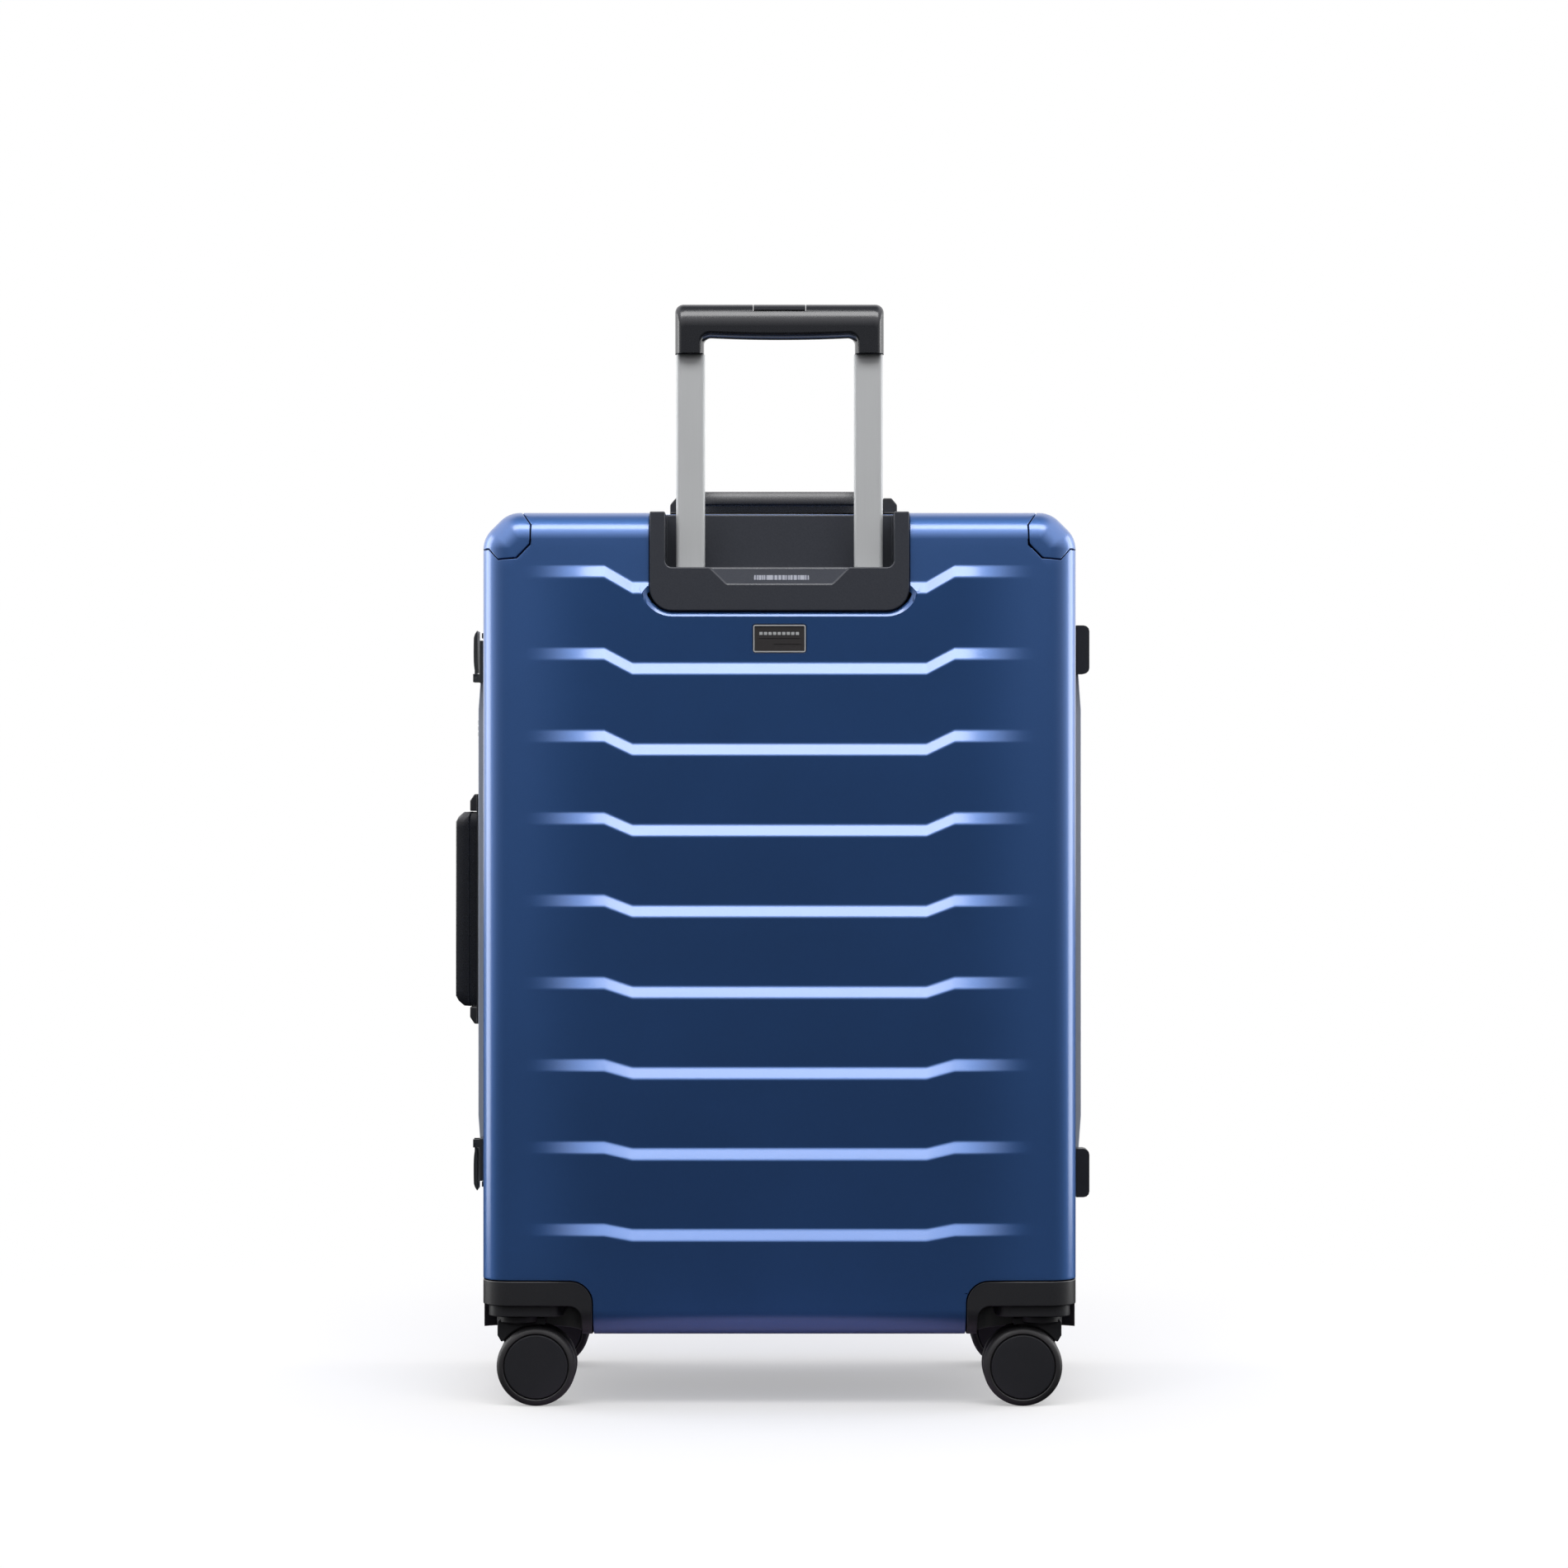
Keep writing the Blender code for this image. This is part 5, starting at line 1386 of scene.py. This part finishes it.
def pipingTree():
    tree, got = geometryTree("piping", pipingValues)
    ring = tree.nodes.new("GeometryNodeCurvePrimitiveCircle")
    ring.inputs["Resolution"].default_value = 10
    tree.links.new(got["Radius"], ring.inputs["Radius"])
    skin = tree.nodes.new("GeometryNodeCurveToMesh")
    tree.links.new(curveOf(tree, got), skin.inputs["Curve"])
    tree.links.new(ring.outputs[0], skin.inputs["Profile Curve"])
    finishTree(tree, skin.outputs[0], got["Finish"])
    return tree


def stitchTree():
    tree, got = geometryTree("stitches", stitchValues)
    return beads(tree, got, got["Length"], (8, 6), (0.24, 0.24, 1.0))


def liningPath(name, inset, y):
    v = liningValues
    low, high = (-v["halfWidth"] + inset, v["low"] + inset), (v["halfWidth"] - inset, v["high"] - inset)
    outline = roundedOutline(low, high, (v["corner"] - inset,) * 4, 12)
    return pathObject(name, [(x, y, z) for x, z in outline], True)


def liningPiece(half, cloth, trims):
    bm = bmesh.new()
    bm.from_mesh(nodes[half + "_lining"].data)
    bmesh.ops.remove_doubles(bm, verts=bm.verts, dist=0.00001)
    bmesh.ops.dissolve_limit(bm, angle_limit=math.radians(1.0), verts=bm.verts, edges=bm.edges)
    bmesh.ops.translate(bm, verts=bm.verts, vec=(-midX, 0, 0))
    piece = fromBmesh(half + "Lining", bm)
    settle(piece, 50)
    show(piece, cloth, half + "_half", "lining", half + "_lining")
    y, v = liningValues[half + "Mouth"], liningValues
    piping = liningPath(half + "Piping", v["inset"], y)
    runTree(piping, trims[0], {"Finish": pipingCloth, **pipingValues})
    stitches = liningPath(half + "Stitches", v["stitchInset"], y + halves[half] * v["stitchBelow"])
    runTree(stitches, trims[1], {"Finish": threadCloth, **stitchValues})
    for trim, finish in ((piping, pipingCloth), (stitches, threadCloth)):
        settle(trim, 60, False)
        show(trim, finish, half + "_half", "lining")


liningCloth = clothOf("liningCloth", (0.050, 0.055, 0.070), (0.085, 0.092, 0.112), 900.0)
pipingCloth = clothOf("pipingCloth", (0.012, 0.013, 0.016), (0.022, 0.023, 0.028), 1400.0)
threadCloth = clothOf("threadCloth", (0.20, 0.23, 0.30), (0.32, 0.36, 0.44), 3000.0)
trimTrees = (pipingTree(), stitchTree())
for half in halves:
    liningPiece(half, liningCloth, trimTrees)
print("linings built")


# finishes of the nodes that stay
nodeFinishes = {
    "frame_seal": sealRubber, "rear_frame": silverFrame, "front_frame": blueBelt, "nameplate": plateMetal,
    "trolley_housing": housingPlastic, "trolley_grip": gripPlastic, "trolley_button": gripPlastic,
    "top_handle_base": blackPlastic, "top_handle_grip": gripPlastic, "side_handle_base": blackPlastic,
    "side_handle_grip": gripPlastic, "lock_body": gunmetal,
}
prefixFinishes = {
    "trolley_outer": tubeMetal, "trolley_mid": tubeMetal, "trolley_inner": tubeMetal, "latch_": gunmetal,
    "hinge_block": blackPlastic, "hinge_leaf": brightSteel, "lock_dial": brightSteel, "caster_fork": blackPlastic,
    "caster_axle": brightSteel, "wheel_": wheelRubber,
}
for name, node in nodes.items():
    finish = nodeFinishes.get(name)
    for prefix, value in prefixFinishes.items():
        if finish is None and name.startswith(prefix):
            finish = value
    if finish:
        node.data.materials.clear()
        node.data.materials.append(finish)


# camera, light and floor
viewValues = {"x": midX + 0.0033, "y": -3.135, "z": 0.455, "lens": 94.74, "sensor": 36.0}
camera = bpy.data.objects.new("camera", bpy.data.cameras.new("camera"))
camera.data.sensor_width = viewValues["sensor"]
camera.data.lens = viewValues["lens"]
camera.location = (viewValues["x"], viewValues["y"], viewValues["z"])
camera.rotation_euler = (math.pi / 2, 0, 0)
bpy.context.scene.collection.objects.link(camera)
bpy.context.scene.camera = camera

skyStops = ((0.00, 0.10), (0.42, 0.02), (0.50, 0.015), (0.56, 0.15), (0.63, 0.62),
            (0.71, 1.00), (0.77, 1.20), (0.82, 0.90), (0.88, 0.22), (1.00, 0.10))
skyTint = (1.00, 0.985, 1.02)
backdrop = 0.19  # of the sky's strength


def studioSky():
    world = bpy.data.worlds.new("studio")
    world.use_nodes = True
    tree = world.node_tree
    tree.nodes.clear()
    way = tree.nodes.new("ShaderNodeSeparateXYZ")
    tree.links.new(tree.nodes.new("ShaderNodeTexCoord").outputs["Generated"], way.inputs[0])
    ramp = tree.nodes.new("ShaderNodeValToRGB")
    ramp.color_ramp.interpolation = "B_SPLINE"
    while len(ramp.color_ramp.elements) < len(skyStops):
        ramp.color_ramp.elements.new(0.5)
    for element, (place, level) in zip(ramp.color_ramp.elements, skyStops):
        element.position = place
        element.color = (*(level / 5 * share for share in skyTint), 1)
    up = calc(tree, "ARCSINE", calc(tree, "MINIMUM", way.outputs[2], 0.9999))
    tree.links.new(calc(tree, "MULTIPLY_ADD", up, 1 / math.pi, 0.5), ramp.inputs[0])
    behind = ranged(tree, way.outputs[1], -1.00, 0.55, 0.0, backdrop, True)  # a white sweep stands behind
    low = ranged(tree, way.outputs[2], 0.10, 0.65, 1.0, 0.0, True)
    sweep = calc(tree, "MULTIPLY", behind, low)
    joined = mixed(tree, 1.0, ramp.outputs[0], sweep)
    joined.node.blend_type = "ADD"
    soft = tree.nodes.new("ShaderNodeBackground")
    soft.inputs["Strength"].default_value = 5.0
    tree.links.new(joined, soft.inputs[0])
    plain = tree.nodes.new("ShaderNodeBackground")
    plain.inputs[0].default_value = (1, 1, 1, 1)
    mix = tree.nodes.new("ShaderNodeMixShader")
    tree.links.new(tree.nodes.new("ShaderNodeLightPath").outputs["Is Camera Ray"], mix.inputs[0])
    tree.links.new(soft.outputs[0], mix.inputs[1])
    tree.links.new(plain.outputs[0], mix.inputs[2])
    tree.links.new(mix.outputs[0], tree.nodes.new("ShaderNodeOutputWorld").inputs[0])
    bpy.context.scene.world = world


panels = {
    "keyPanel": {"place": (0.0, -1.55, 2.75), "aim": 0.45, "size": (3.0, 0.90), "power": 37.0},
    "leftPanel": {"place": (-1.30, 0.25, 0.60), "aim": 0.36, "size": (0.60, 1.4), "power": 6.5},
    "rightPanel": {"place": (1.30, 0.25, 0.60), "aim": 0.36, "size": (0.60, 1.4), "power": 6.5},
}


def softPanel(name, place, aim, size, power):
    light = bpy.data.lights.new(name, "AREA")
    light.shape = "RECTANGLE"
    light.size, light.size_y = size
    light.energy = power
    obj = bpy.data.objects.new(name, light)
    obj.location = place
    obj.rotation_euler = (Vector((0, 0, aim)) - Vector(place)).to_track_quat("-Z", "Y").to_euler()
    bpy.context.scene.collection.objects.link(obj)


def paleFloor():
    bm = bmesh.new()
    bmesh.ops.create_grid(bm, x_segments=2, y_segments=2, size=14)
    floor = fromBmesh("floor", bm)
    made = bpy.data.materials.new("paleFloor")
    made.use_nodes = True
    tree = made.node_tree
    tree.nodes.clear()
    coords = tree.nodes.new("ShaderNodeTexCoord").outputs["Object"]
    length = tree.nodes.new("ShaderNodeVectorMath")
    length.operation = "LENGTH"
    tree.links.new(coords, length.inputs[0])
    # painted glow: for the camera the floor mixes in white emission, 38% beside the case rising to full white a
    # metre out, which lightens the shadow under the case
    far = ranged(tree, length.outputs["Value"], 0.35, 1.00, 0.38, 1.0, True)
    path = tree.nodes.new("ShaderNodeLightPath")
    lit = tree.nodes.new("ShaderNodeBsdfDiffuse")
    lit.inputs[0].default_value = (0.90, 0.90, 0.90, 1)
    # painted reflection: rays other than the camera's see a separate floor, a pale mauve pool close round the case
    # and near black beyond it
    dim = tree.nodes.new("ShaderNodeBsdfDiffuse")
    near = ranged(tree, length.outputs["Value"], 0.17, 0.25, 1.0, 0.0, True)
    tree.links.new(mixed(tree, near, (0.016, 0.016, 0.017, 1), (0.40, 0.33, 0.42, 1)), dim.inputs[0])
    white = tree.nodes.new("ShaderNodeEmission")
    fade = tree.nodes.new("ShaderNodeMixShader")
    tree.links.new(far, fade.inputs[0])
    tree.links.new(lit.outputs[0], fade.inputs[1])
    tree.links.new(white.outputs[0], fade.inputs[2])
    mix = tree.nodes.new("ShaderNodeMixShader")
    tree.links.new(path.outputs["Is Camera Ray"], mix.inputs[0])
    tree.links.new(dim.outputs[0], mix.inputs[1])
    tree.links.new(fade.outputs[0], mix.inputs[2])
    tree.links.new(mix.outputs[0], tree.nodes.new("ShaderNodeOutputMaterial").inputs[0])
    floor.data.materials.append(made)


studioSky()
for name, values in panels.items():
    softPanel(name, **values)
paleFloor()
bpy.context.scene.view_settings.view_transform = "Standard"
print("camera, light and floor ready")
